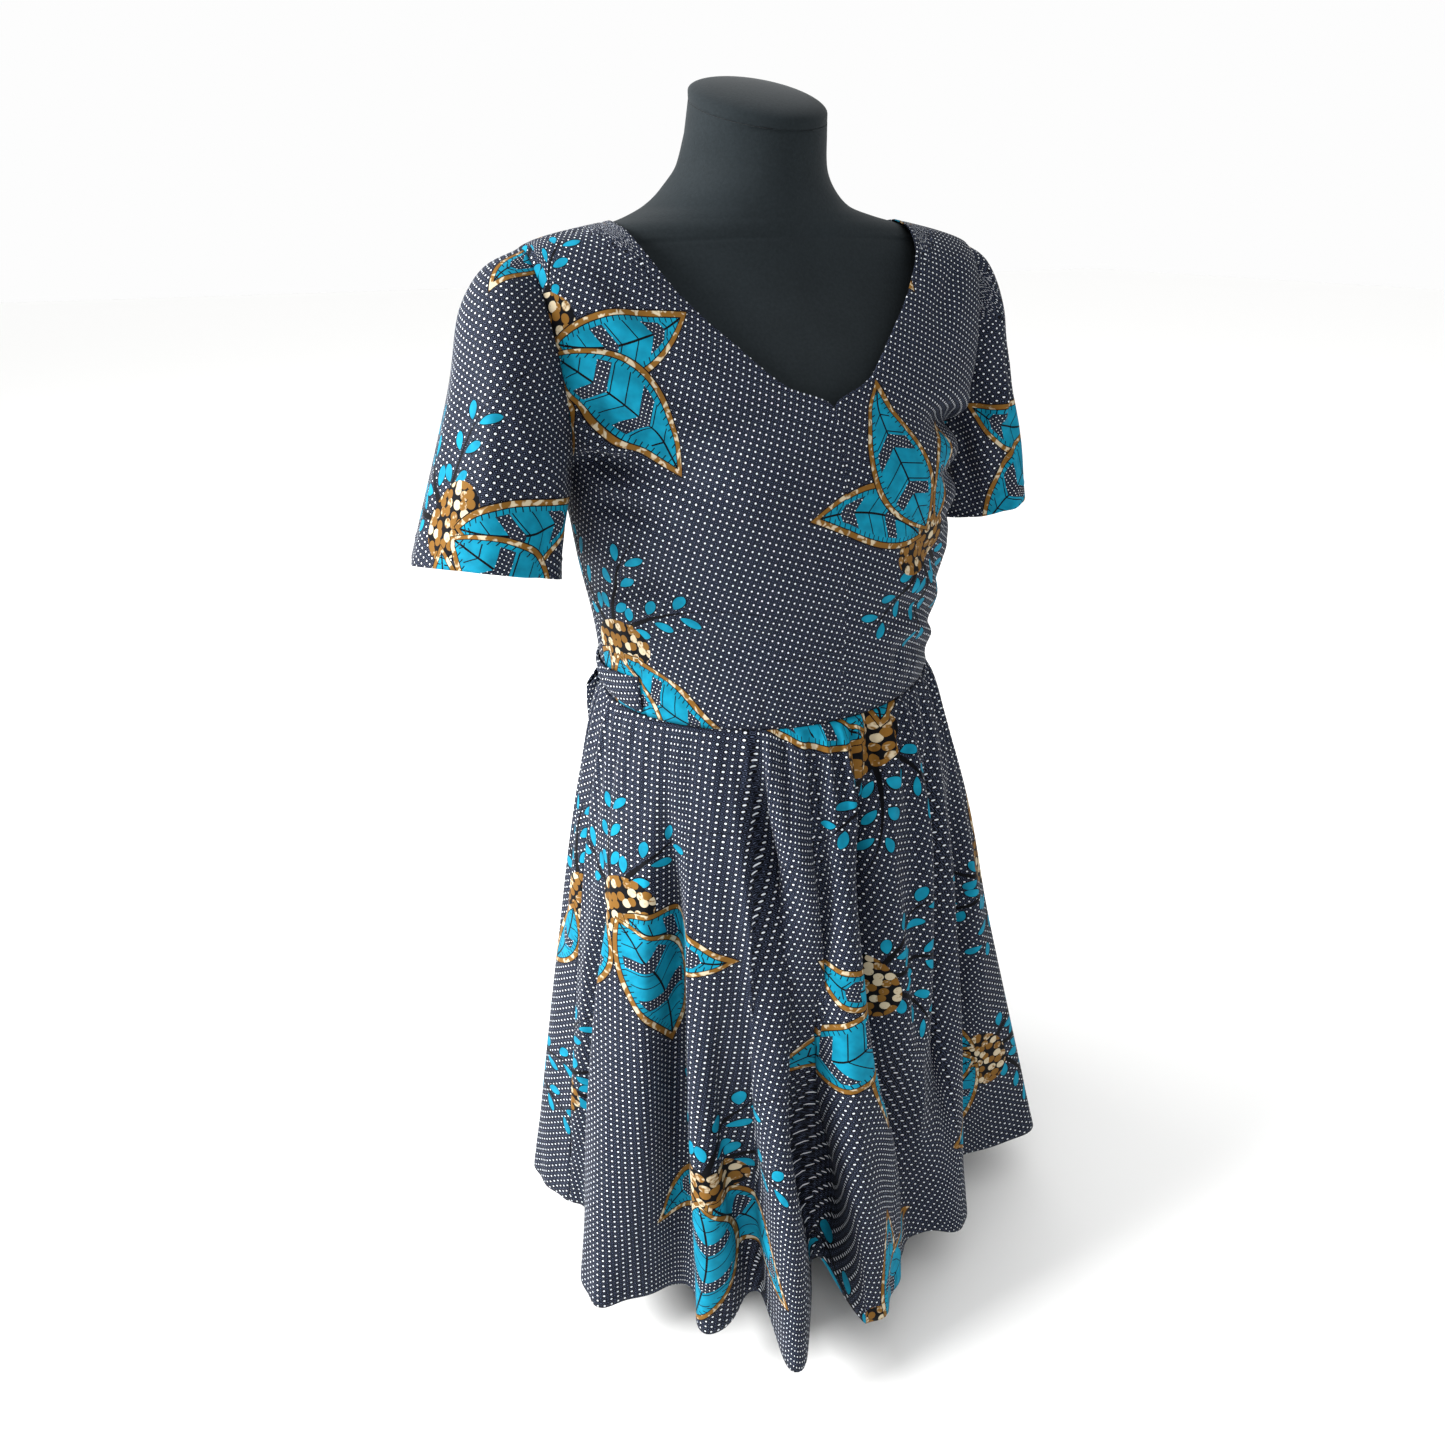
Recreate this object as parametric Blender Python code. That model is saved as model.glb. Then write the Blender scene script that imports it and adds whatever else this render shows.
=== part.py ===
"""A short sleeved dress with a V neck and a gathered, flared skirt, on a limbless dress form.

Metres, +Z up, the front faces -Y and the wearer's right is -X. The origin is the middle of the
base's underside. Heights in the tables are measured from the waist seam.
"""
import math
from collections import namedtuple

import bmesh
import bpy
from mathutils import Vector

# Overall sizes
WAIST_Z = 0.580
SKIRT_LENGTH = 0.528
CLOTH = 0.0012
SEAM_GAP = 0.0004
REST_GAP = 0.0003

# Grid sizes
QUARTER_COLUMNS = 10
ROW_STEPS = 2
SLEEVE_COLUMNS = 24
SKIRT_COLUMNS = 144
FORM_COLUMNS = 28
BASE_COLUMNS = 48
POLE_COLUMNS = 20
BEVEL_STEPS = 2
SHARP_ANGLE = math.radians(50.0)

# Dress form: half width, front depth, back depth, how far back the widest line lies, and the
# exponent of the section's rounding, 2 for an ellipse and less for a ridge at the sides
FormRow = namedtuple("FormRow", "height half_width front back ridge rounding")
FORM_ROWS = (
    FormRow(-0.200, 0.150, 0.098, 0.112, 0.0, 2.0),
    FormRow(-0.185, 0.157, 0.104, 0.119, 0.0, 2.0),
    FormRow(-0.120, 0.156, 0.109, 0.116, 0.0, 2.0),
    FormRow(-0.060, 0.144, 0.110, 0.102, 0.0, 2.0),
    FormRow(0.000, 0.137, 0.115, 0.096, 0.0, 2.0),
    FormRow(0.060, 0.143, 0.121, 0.095, 0.0, 2.0),
    FormRow(0.120, 0.154, 0.122, 0.100, 0.0, 2.0),
    FormRow(0.180, 0.160, 0.115, 0.108, 0.0, 2.0),
    FormRow(0.2425, 0.165, 0.101, 0.110, 0.0, 2.0),
    FormRow(0.270, 0.169, 0.086, 0.106, 0.001, 2.0),
    FormRow(0.300, 0.174, 0.067, 0.099, 0.002, 1.9),
    FormRow(0.325, 0.177, 0.053, 0.090, 0.004, 1.7),
    FormRow(0.345, 0.175, 0.046, 0.083, 0.005, 1.5),
    FormRow(0.358, 0.164, 0.043, 0.078, 0.006, 1.4),
    FormRow(0.366, 0.144, 0.042, 0.074, 0.006, 1.4),
    FormRow(0.371, 0.128, 0.042, 0.071, 0.008, 1.4),
    FormRow(0.376, 0.110, 0.041, 0.070, 0.016, 1.5),
    FormRow(0.384, 0.088, 0.041, 0.070, 0.030, 1.7),
    FormRow(0.397, 0.070, 0.040, 0.070, 0.036, 2.0),
    FormRow(0.414, 0.059, 0.040, 0.070, 0.028, 2.0),
    FormRow(0.436, 0.055, 0.040, 0.069, 0.017, 2.0),
)
NECK_CENTRE_Y = 0.012
NECK_TOP_RADIUS = 0.053
NECK_TOP_RISE = 0.016
NECK_TILT = math.radians(18.0)
NECK_RIM_HEIGHT = 0.006
NECK_DOME_HEIGHT = 0.012
NECK_DOME_RINGS = 4
POLE_RADIUS = 0.014
BASE_RADIUS = 0.130
BASE_HEIGHT = 0.012
BASE_BEVEL = 0.003

# Armhole ring, from the shoulder tip through the front to the underarm
SHOULDER_TIP = Vector((0.1925, 0.006, 0.354))
UNDERARM = Vector((0.172, 0.0, 0.195))
ARMHOLE_FRONT = 0.040
ARMHOLE_BACK = 0.050

# Bodice halves: the edge is the centre line, then the neckline, and the side is the side seam,
# then the armhole at an angle from the shoulder tip
PanelRow = namedtuple("PanelRow", "edge_x edge_y edge_z side_x side_z armhole_angle")
FRONT_ROWS = (
    PanelRow(0.0, -0.1290, 0.0000, 0.1466, 0.000, None),
    PanelRow(0.0, -0.1315, 0.0600, 0.1530, 0.060, None),
    PanelRow(0.0, -0.1330, 0.1250, 0.1640, 0.120, None),
    PanelRow(0.0, -0.1285, 0.1850, 0.1700, 0.170, None),
    PanelRow(0.0, -0.1105, 0.2425, None, None, 180.0),
    PanelRow(0.036, -0.0990, 0.2620, None, None, 140.0),
    PanelRow(0.066, -0.0810, 0.2900, None, None, 100.0),
    PanelRow(0.095, -0.0600, 0.3200, None, None, 60.0),
    PanelRow(0.114, -0.0420, 0.3490, None, None, 30.0),
    PanelRow(0.1225, -0.0170, 0.3685, None, None, 12.0),
    PanelRow(0.1256, 0.0060, 0.3740, None, None, 0.0),
)
BACK_ROWS = (
    PanelRow(0.0, 0.1070, 0.0000, 0.1466, 0.000, None),
    PanelRow(0.0, 0.1040, 0.0600, 0.1530, 0.060, None),
    PanelRow(0.0, 0.1090, 0.1250, 0.1640, 0.120, None),
    PanelRow(0.0, 0.1180, 0.1850, 0.1700, 0.170, None),
    PanelRow(0.0, 0.1210, 0.2400, None, None, 180.0),
    PanelRow(0.0, 0.1180, 0.2850, None, None, 140.0),
    PanelRow(0.0, 0.1040, 0.3350, None, None, 100.0),
    PanelRow(0.045, 0.0980, 0.3430, None, None, 60.0),
    PanelRow(0.090, 0.0730, 0.3600, None, None, 30.0),
    PanelRow(0.117, 0.0340, 0.3700, None, None, 12.0),
    PanelRow(0.1256, 0.0060, 0.3740, None, None, 0.0),
)
FRONT_OPEN_ROW = 4
BACK_OPEN_ROW = 6

# Sleeve stations: outer and inner line, and the depth before and behind the line between them
SleeveRow = namedtuple("SleeveRow", "outer_x outer_z inner_x inner_z front back")
SLEEVE_ROWS = (
    SleeveRow(0.2170, 0.3440, 0.1755, 0.1860, 0.050, 0.058),
    SleeveRow(0.2370, 0.3160, 0.1790, 0.1720, 0.058, 0.065),
    SleeveRow(0.2480, 0.2680, 0.1815, 0.1550, 0.065, 0.071),
    SleeveRow(0.2640, 0.2150, 0.1835, 0.1380, 0.070, 0.076),
    SleeveRow(0.2780, 0.1720, 0.1850, 0.1230, 0.073, 0.079),
    SleeveRow(0.2900, 0.1350, 0.1860, 0.1090, 0.075, 0.081),
)

# How each sleeve hangs: its outer line drawn in, its hem swung back, and the front hem's lift.
# The outer line is drawn in fully once this share of the sleeve is passed
TUCK_SHARE = 0.5
SleeveHang = namedtuple("SleeveHang", "tuck swing lift")
SLEEVE_HANG = {-1: SleeveHang(0.0, 0.0, 0.020), 1: SleeveHang(0.026, 0.020, 0.006)}

# Skirt: share of the length at each ring, and the size of the waist gathers there
SkirtRow = namedtuple("SkirtRow", "share gather")
SKIRT_ROWS = (
    SkirtRow(0.00, 0.0000),
    SkirtRow(0.03, 0.0026),
    SkirtRow(0.08, 0.0036),
    SkirtRow(0.17, 0.0026),
    SkirtRow(0.30, 0.0012),
    SkirtRow(0.46, 0.0),
    SkirtRow(0.64, 0.0),
    SkirtRow(0.82, 0.0),
    SkirtRow(1.00, 0.0),
)
GATHERS = 36
# Gathers are uneven round the waist: a mean size, and a part that comes and goes by turns
GATHER_MEAN = 0.75
GATHER_SWING = 0.25
GATHER_SLOW_TURNS = 2.0
GATHER_FAST_TURNS = 5.0
GATHER_PHASE = 1.0
FLARE_POWER = 0.66
FLUTE_POWER = 1.35
HEM_MEAN = 0.223

# Hem of the skirt: outward flutes and the valleys between them, angles from the front
Flute = namedtuple("Flute", "crest_angle crest_radius valley_angle valley_radius")
FLUTES = (
    Flute(-175.0, 0.253, -157.0, 0.205),
    Flute(-140.0, 0.250, -122.0, 0.203),
    Flute(-103.0, 0.240, -84.0, 0.207),
    Flute(-65.0, 0.254, -49.0, 0.200),
    Flute(-40.0, 0.236, -30.0, 0.195),
    Flute(-22.0, 0.262, -11.5, 0.168),
    Flute(-6.5, 0.241, 17.0, 0.196),
    Flute(28.0, 0.227, 45.0, 0.197),
    Flute(62.0, 0.284, 79.0, 0.222),
    Flute(92.0, 0.263, 106.0, 0.214),
    Flute(121.0, 0.262, 137.0, 0.210),
    Flute(153.0, 0.258, 169.0, 0.208),
)

# Sash and bow
SASH_START = 7
SASH_LOW = 0.003
SASH_WIDE = 0.031
SASH_NARROW = 0.021
SASH_THICK = 0.0014
SASH_LIFT = 0.0008
KNOT_HALF = 0.0130
KNOT_DEPTH = 0.016
KNOT_HEIGHT = 0.032
KNOT_BEVEL = 0.004
LOOP_LENGTH = 0.112
LOOP_SWELL = 0.010
LOOP_WIDTH = 0.038
LOOP_DROOP = 0.086
LOOP_STEPS = 18
LOOP_OPENING = 0.02
LOOP_DROOP_POWER = 1.5
LOOP_PINCH_SHARE = 1.0 / 3.0
LOOP_ROOT = 0.0035
LOOP_PINCH = 0.5
LOOP_CLEAR = 0.0085
TAIL_WIDTH = 0.034
TAIL_LENGTH = 0.190
TAIL_SPREAD = 0.030
TAIL_STEPS = 8
TAIL_START = 0.010
TAIL_PINCH = 0.5
TAIL_PINCH_SHARE = 0.25
TAIL_SLANT = 0.012
TAIL_SLANT_POWER = 6
TAIL_CLEAR = 0.0045
BOW_NEAR = 0.016
BOW_GATHER_ROW = 2

# Colours
PRINT_NAVY = (0.045, 0.058, 0.095)
JERSEY_BLACK = (0.018, 0.021, 0.024)
STEEL_BLACK = (0.03, 0.03, 0.03)


def material(name, colour, roughness, metallic=0.0):
    """A Principled material of one colour."""
    made = bpy.data.materials.new(name)
    made.use_nodes = True
    shader = made.node_tree.nodes["Principled BSDF"]
    shader.inputs["Base Color"].default_value = (*colour, 1.0)
    shader.inputs["Roughness"].default_value = roughness
    shader.inputs["Metallic"].default_value = metallic
    return made


def follow(places, values, at):
    """Value at a place on the smooth curve through a table, which never overshoots its rows."""
    count = len(places)
    slopes = [(values[k + 1] - values[k]) / (places[k + 1] - places[k]) for k in range(count - 1)]
    tangents = [slopes[0]]
    for before, after in zip(slopes, slopes[1:]):
        tangents.append(0.0 if before * after <= 0.0 else 2.0 * before * after / (before + after))
    tangents.append(slopes[-1])
    k = min(max(sum(place <= at for place in places) - 1, 0), count - 2)
    width = places[k + 1] - places[k]
    t = (at - places[k]) / width
    rise = values[k + 1] - values[k]
    bend = t * (1.0 - t) * ((1.0 - t) * (tangents[k] * width - rise) - t * (tangents[k + 1] * width - rise))
    return values[k] + rise * t + bend


def column(rows, field, at):
    """A table's column at a row number, which may lie between rows."""
    return follow(range(len(rows)), [getattr(row, field) for row in rows], at)


def place(name, mesh, finish, parent=None):
    """Puts a mesh in the scene as a named object."""
    mesh.materials.append(finish)
    made = bpy.data.objects.new(name, mesh)
    bpy.context.collection.objects.link(made)
    made.parent = parent
    return made


def mesh_from(name, points, faces):
    """A mesh from points and faces, with its faces turned outward."""
    shape = bmesh.new()
    corners = [shape.verts.new(point) for point in points]
    for face in faces:
        shape.faces.new([corners[k] for k in face])
    if shape.calc_volume(signed=True) < 0.0:
        bmesh.ops.reverse_faces(shape, faces=shape.faces)
    made = bpy.data.meshes.new(name)
    shape.to_mesh(made)
    shape.free()
    made.shade_smooth()
    made.set_sharp_from_angle(angle=SHARP_ANGLE)
    return made


def wall(points, faces, thickness, planes):
    """Closes a sheet into a wall: the points are its outer side and planes holds, for a point on
    a seam, the directions that its edge must not lean in."""
    normals = [Vector() for _ in points]
    for face in faces:
        corners = [points[k] for k in face]
        across = (corners[2] - corners[0]).cross(corners[-1] - corners[1])
        for k in face:
            normals[k] += across
    inner = []
    for k, point in enumerate(points):
        lean = normals[k].normalized()
        for plane in planes.get(k, ()):
            lean = (lean - lean.dot(plane) * plane).normalized()
        inner.append(point - lean * thickness)
    count = len(points)
    edges = {(a, b) for face in faces for a, b in zip(face, face[1:] + face[:1])}
    closed = list(faces)
    closed += [tuple(k + count for k in reversed(face)) for face in faces]
    closed += [(b, a, a + count, b + count) for a, b in edges if (b, a) not in edges]
    return list(points) + inner, closed


def grid_faces(columns, rows, looped=False):
    """Faces of a grid whose points run along each row in turn."""
    faces = []
    for row in range(rows - 1):
        for k in range(columns if looped else columns - 1):
            after = (k + 1) % columns
            low = row * columns
            high = low + columns
            faces.append((low + k, low + after, high + after, high + k))
    return faces


def armhole_point(angle, front, side):
    """A point of the armhole ring, at an angle in degrees from the shoulder tip."""
    turn = math.radians(angle)
    middle = (SHOULDER_TIP + UNDERARM) / 2.0
    half = (SHOULDER_TIP - UNDERARM) / 2.0
    depth = -ARMHOLE_FRONT if front else ARMHOLE_BACK
    point = middle + half * math.cos(turn) + Vector((0.0, depth * math.sin(turn), 0.0))
    return Vector((point.x * side, point.y, point.z))


def armhole_axis(side):
    """Outward direction square to the armhole ring."""
    axis = Vector((0.0, -1.0, 0.0)).cross(SHOULDER_TIP - UNDERARM).normalized()
    axis = axis if axis.x > 0.0 else -axis
    return Vector((axis.x * side, axis.y, axis.z))


def side_points(rows, front):
    """The side seam and armhole points of a bodice table."""
    found = []
    for row in rows:
        if row.armhole_angle is None:
            found.append(Vector((row.side_x, 0.0, row.side_z)))
        else:
            found.append(armhole_point(row.armhole_angle, front, 1.0))
    return found


def bodice_point(front, share, level):
    """A point of the bodice's outer face: share runs from the centre to the side in quarter
    turns, and level is a row number of the table."""
    rows = FRONT_ROWS if front else BACK_ROWS
    sides = side_points(rows, front)
    steps = range(len(rows))
    edge = Vector([column(rows, field, level) for field in ("edge_x", "edge_y", "edge_z")])
    side = Vector([follow(steps, [point[axis] for point in sides], level) for axis in range(3)])
    turn = share * math.pi / 2.0
    return Vector((
        edge.x + (side.x - edge.x) * math.sin(turn),
        side.y + (edge.y - side.y) * math.cos(turn),
        edge.z + (side.z - edge.z) * share,
    ))


def bodice_panel(name, front, finish, parent):
    """One bodice panel, cut whole, with its two halves joined on the centre line."""
    rows = FRONT_ROWS if front else BACK_ROWS
    open_row = (FRONT_OPEN_ROW if front else BACK_OPEN_ROW) * ROW_STEPS
    last = (len(rows) - 1) * ROW_STEPS
    underarm = sum(row.armhole_angle is None for row in rows) * ROW_STEPS
    shift = Vector((0.0, -SEAM_GAP / 2.0 if front else SEAM_GAP / 2.0, 0.0))
    points, index, planes = [], {}, {}
    for side in (-1, 1):
        for row in range(last + 1):
            for k in range(QUARTER_COLUMNS + 1):
                if side == 1 and k == 0 and row <= open_row:
                    index[side, k, row] = index[-1, k, row]
                    continue
                point = bodice_point(front, k / QUARTER_COLUMNS, row / ROW_STEPS)
                number = len(points)
                index[side, k, row] = number
                held = []
                if row == 0:
                    held.append(Vector((0.0, 0.0, 1.0)))
                if row == last or (k == QUARTER_COLUMNS and row <= underarm):
                    held.append(Vector((0.0, 1.0, 0.0)))
                if k == QUARTER_COLUMNS and row >= underarm:
                    held.append(armhole_axis(side))
                planes[number] = held
                moved = shift if row == last or k == QUARTER_COLUMNS else Vector()
                points.append(Vector((point.x * side, point.y, point.z)) + moved)
    faces = []
    for side in (-1, 1):
        for row in range(last):
            for k in range(QUARTER_COLUMNS):
                face = (
                    index[side, k, row],
                    index[side, k + 1, row],
                    index[side, k + 1, row + 1],
                    index[side, k, row + 1],
                )
                faces.append(face if (side == 1) == front else tuple(reversed(face)))
    return place(name, mesh_from(name, *wall(points, faces, CLOTH, planes)), finish, parent)


def sleeve(name, side, finish, parent):
    """A short set-in sleeve: a tube from just outside the armhole to its hem."""
    axis = armhole_axis(1.0)
    points, planes = [], {}
    for k in range(SLEEVE_COLUMNS):
        turn = 360.0 * k / SLEEVE_COLUMNS
        planes[k] = [armhole_axis(side)]
        ahead = turn < 180.0
        start = armhole_point(turn if ahead else 360.0 - turn, ahead, 1.0)
        points.append(start + axis * SEAM_GAP)
    hang = SLEEVE_HANG[side]
    for number, row in enumerate(SLEEVE_ROWS):
        fall = (number + 1) / len(SLEEVE_ROWS)
        tuck = hang.tuck * min(1.0, fall / TUCK_SHARE)
        outer = Vector((row.outer_x - tuck, hang.swing * fall, row.outer_z))
        inner = Vector((row.inner_x, hang.swing * fall, row.inner_z))
        for k in range(SLEEVE_COLUMNS):
            turn = 2.0 * math.pi * k / SLEEVE_COLUMNS
            ahead = math.sin(turn)
            depth = row.front if ahead > 0.0 else row.back
            away = Vector((0.0, -depth * ahead, hang.lift * fall * max(ahead, 0.0)))
            points.append((outer + inner) / 2.0 + (outer - inner) / 2.0 * math.cos(turn) + away)
    faces = grid_faces(SLEEVE_COLUMNS, len(SLEEVE_ROWS) + 1, looped=True)
    points = [Vector((point.x * side, point.y, point.z)) for point in points]
    faces = [face if side > 0 else tuple(reversed(face)) for face in faces]
    return place(name, mesh_from(name, *wall(points, faces, CLOTH, planes)), finish, parent)


def hem_radius(angle):
    """Distance of the hem from the middle, at an angle in degrees from the front."""
    stops = [(flute.crest_angle, flute.crest_radius) for flute in FLUTES]
    stops += [(flute.valley_angle, flute.valley_radius) for flute in FLUTES]
    stops.sort()
    stops = [(stops[-1][0] - 360.0, stops[-1][1])] + stops + [(stops[0][0] + 360.0, stops[0][1])]
    turn = (angle + 180.0) % 360.0 - 180.0
    for (start, near), (end, far) in zip(stops, stops[1:]):
        if start <= turn <= end:
            share = (1.0 - math.cos(math.pi * (turn - start) / (end - start))) / 2.0
            return near + (far - near) * share
    return stops[0][1]


def waist_point(angle):
    """A point of the waist seam, at a turn in degrees from the front."""
    turn = math.radians(angle)
    rows = FRONT_ROWS if math.cos(turn) > 0.0 else BACK_ROWS
    return Vector((rows[0].side_x * math.sin(turn), abs(rows[0].edge_y) * -math.cos(turn), 0.0))


def skirt_point(angle, share, gather):
    """A point of the skirt's outer face at a turn and a share of its length."""
    turn = math.radians(angle)
    waist = waist_point(angle)
    away = Vector((math.sin(turn), -math.cos(turn), 0.0))
    hem = hem_radius(angle)
    spread = share ** FLARE_POWER
    flute = share ** FLUTE_POWER
    swing = math.sin(GATHER_FAST_TURNS * turn + GATHER_PHASE) * math.sin(GATHER_SLOW_TURNS * turn)
    ripple = gather * (GATHER_MEAN + GATHER_SWING * swing) * math.cos(GATHERS * turn)
    point = waist * (1.0 - spread) + away * (spread * HEM_MEAN + flute * (hem - HEM_MEAN) + ripple)
    return Vector((point.x, point.y, -share * SKIRT_LENGTH - SEAM_GAP))


def skirt_panel(name, front, finish, parent):
    """Half of the skirt, from side seam to side seam."""
    half = SKIRT_COLUMNS // 2
    middle = 0.0 if front else 180.0
    shift = Vector((0.0, -SEAM_GAP / 2.0 if front else SEAM_GAP / 2.0, 0.0))
    points, planes = [], {}
    for row in SKIRT_ROWS:
        for k in range(half + 1):
            angle = middle - 90.0 + 180.0 * k / half
            held = []
            if row.share == 0.0:
                held.append(Vector((0.0, 0.0, 1.0)))
            point = skirt_point(angle, row.share, row.gather)
            if k in (0, half):
                held.append(Vector((0.0, 1.0, 0.0)))
                point += shift
            planes[len(points)] = held
            points.append(point)
    faces = [tuple(reversed(face)) for face in grid_faces(half + 1, len(SKIRT_ROWS))]
    return place(name, mesh_from(name, *wall(points, faces, CLOTH, planes)), finish, parent)


def sash(name, side, finish, parent):
    """A tie from the front dart round the side to the knot, on the bodice just above the waist."""
    quarter = range(QUARTER_COLUMNS, 0, -1)
    stops = [(True, k / QUARTER_COLUMNS) for k in range(SASH_START, QUARTER_COLUMNS)]
    stops += [(False, k / QUARTER_COLUMNS) for k in quarter]
    stops.append((False, math.asin((KNOT_HALF + REST_GAP) / BACK_ROWS[0].side_x) * 2.0 / math.pi))
    points = []
    for height in (0, 1):
        for number, (front, turn) in enumerate(stops):
            share = min(number / (QUARTER_COLUMNS - SASH_START), 1.0)
            width = SASH_WIDE + (SASH_NARROW - SASH_WIDE) * share
            z = SASH_LOW + (SASH_WIDE - width) / 2.0 + height * width
            point = bodice_point(front, turn, z / FRONT_ROWS[1].edge_z)
            depth = FRONT_ROWS[0].edge_y if front else BACK_ROWS[0].edge_y
            away = Vector((point.x / FRONT_ROWS[0].side_x ** 2, point.y / depth ** 2, 0.0)).normalized()
            lifted = point + away * (SASH_LIFT + SASH_THICK)
            points.append(Vector((lifted.x * side, lifted.y, z)))
    last = len(stops) - 1
    faces = grid_faces(len(stops), 2)
    faces = [face if side > 0 else tuple(reversed(face)) for face in faces]
    planes = {height * len(stops) + last: [Vector((1.0, 0.0, 0.0))] for height in (0, 1)}
    return place(name, mesh_from(name, *wall(points, faces, SASH_THICK, planes)), finish, parent)


def knot_centre():
    """Middle of the bow's knot, clear of the bodice back."""
    y = BACK_ROWS[0].edge_y + REST_GAP + KNOT_DEPTH / 2.0
    return Vector((0.0, y, SASH_LOW + (SASH_WIDE - SASH_NARROW) / 2.0 + SASH_NARROW / 2.0))


def knot(name, finish, parent):
    """The bow's knot: a rounded block."""
    shape = bmesh.new()
    bmesh.ops.create_cube(shape, size=1.0)
    bmesh.ops.scale(shape, vec=(2.0 * KNOT_HALF, KNOT_DEPTH, KNOT_HEIGHT), verts=shape.verts)
    bmesh.ops.bevel(
        shape, geom=shape.edges[:], offset=KNOT_BEVEL, segments=BEVEL_STEPS, affect="EDGES", profile=0.5
    )
    made = bpy.data.meshes.new(name)
    shape.to_mesh(made)
    shape.free()
    made.shade_smooth()
    block = place(name, made, finish, parent)
    block.location = knot_centre()
    return block


def back_reach(x, z):
    """How far back the bodice or the skirt reaches near a place behind the waist."""
    share = min(max(-z / SKIRT_LENGTH, 0.0), 1.0)
    reach = 0.0
    for step in range(SKIRT_COLUMNS // 4 + 1):
        angle = math.copysign(180.0 - 360.0 * step / SKIRT_COLUMNS, x)
        point = skirt_point(angle, share, column(SKIRT_ROWS, "gather", BOW_GATHER_ROW))
        if abs(point.x - x) < BOW_NEAR:
            reach = max(reach, point.y)
    return reach


def bow_loop(name, side, finish, parent):
    """A loop of ribbon that swells behind the waist and droops to its tip."""
    centre = knot_centre()
    points = []
    for height in (0.5, 0.0, -0.5):
        for k in range(LOOP_STEPS + 1):
            share = LOOP_OPENING + (1.0 - 2.0 * LOOP_OPENING) * k / LOOP_STEPS
            turn = 2.0 * math.pi * share
            reach = (1.0 - math.cos(turn)) / 2.0
            swell = LOOP_SWELL * (1.0 + math.sin(turn)) * math.sqrt(reach)
            root = (1.0 - reach) * LOOP_ROOT * (1.0 if k < LOOP_STEPS / 2.0 else -1.0)
            x = KNOT_HALF + REST_GAP + LOOP_LENGTH * reach
            pinch = LOOP_PINCH + (1.0 - LOOP_PINCH) * min(1.0, reach / LOOP_PINCH_SHARE)
            middle = centre.z - LOOP_DROOP * reach ** LOOP_DROOP_POWER
            y = back_reach(side * x, middle - LOOP_WIDTH / 2.0) + LOOP_CLEAR + swell + root
            points.append(Vector((side * x, y, middle + LOOP_WIDTH * height * pinch)))
    faces = grid_faces(LOOP_STEPS + 1, 3)
    faces = [face if side > 0 else tuple(reversed(face)) for face in faces]
    return place(name, mesh_from(name, *wall(points, faces, CLOTH, {})), finish, parent)


def bow_tail(name, side, finish, parent):
    """A ribbon end that hangs from the knot over the back of the skirt."""
    top = knot_centre().z - KNOT_HEIGHT / 2.0 - REST_GAP
    points = []
    for row in range(TAIL_STEPS + 1):
        share = row / TAIL_STEPS
        z = top - share * TAIL_LENGTH
        width = TAIL_WIDTH * (TAIL_PINCH + (1.0 - TAIL_PINCH) * min(1.0, share / TAIL_PINCH_SHARE))
        middle = max(TAIL_START + TAIL_SPREAD * share, width / 2.0 + CLOTH)
        y = back_reach(side * middle, z - TAIL_LENGTH / TAIL_STEPS) + TAIL_CLEAR
        y = knot_centre().y if row == 0 else y
        for edge in (-0.5, 0.5):
            slant = TAIL_SLANT * (edge + 0.5) * share ** TAIL_SLANT_POWER
            points.append(Vector((side * (middle + edge * width), y, z - slant)))
    faces = grid_faces(2, TAIL_STEPS + 1)
    faces = [face if side < 0 else tuple(reversed(face)) for face in faces]
    planes = {corner: [Vector((0.0, 0.0, 1.0))] for corner in (0, 1)}
    return place(name, mesh_from(name, *wall(points, faces, CLOTH, planes)), finish, parent)


def round_share(share, rounding):
    """A sine or cosine bent to a section's rounding."""
    return math.copysign(abs(share) ** (2.0 / rounding), share)


def form_torso(finish, parent):
    """The dress form's smooth torso and neck, closed at the hips and at the slanting neck top."""
    points = []
    for row in FORM_ROWS:
        for k in range(FORM_COLUMNS):
            turn = 2.0 * math.pi * k / FORM_COLUMNS
            ahead = round_share(math.cos(turn), row.rounding)
            reach = row.front + row.ridge if ahead > 0.0 else row.back - row.ridge
            x = row.half_width * round_share(math.sin(turn), row.rounding)
            points.append(Vector((x, row.ridge - reach * ahead, row.height)))
    top = FORM_ROWS[-1].height + NECK_TOP_RISE
    for k in range(FORM_COLUMNS):
        turn = 2.0 * math.pi * k / FORM_COLUMNS
        forward = -NECK_TOP_RADIUS * math.cos(turn)
        lean = forward * math.tan(NECK_TILT)
        points.append(Vector((NECK_TOP_RADIUS * math.sin(turn), NECK_CENTRE_Y + forward, top + lean)))
    rings = len(FORM_ROWS) + 1
    faces = grid_faces(FORM_COLUMNS, rings, looped=True)
    faces.append(tuple(reversed(range(FORM_COLUMNS))))
    faces.append(tuple(range((rings - 1) * FORM_COLUMNS, rings * FORM_COLUMNS)))
    return place("form_torso", mesh_from("form_torso", points, faces), finish, parent)


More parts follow.
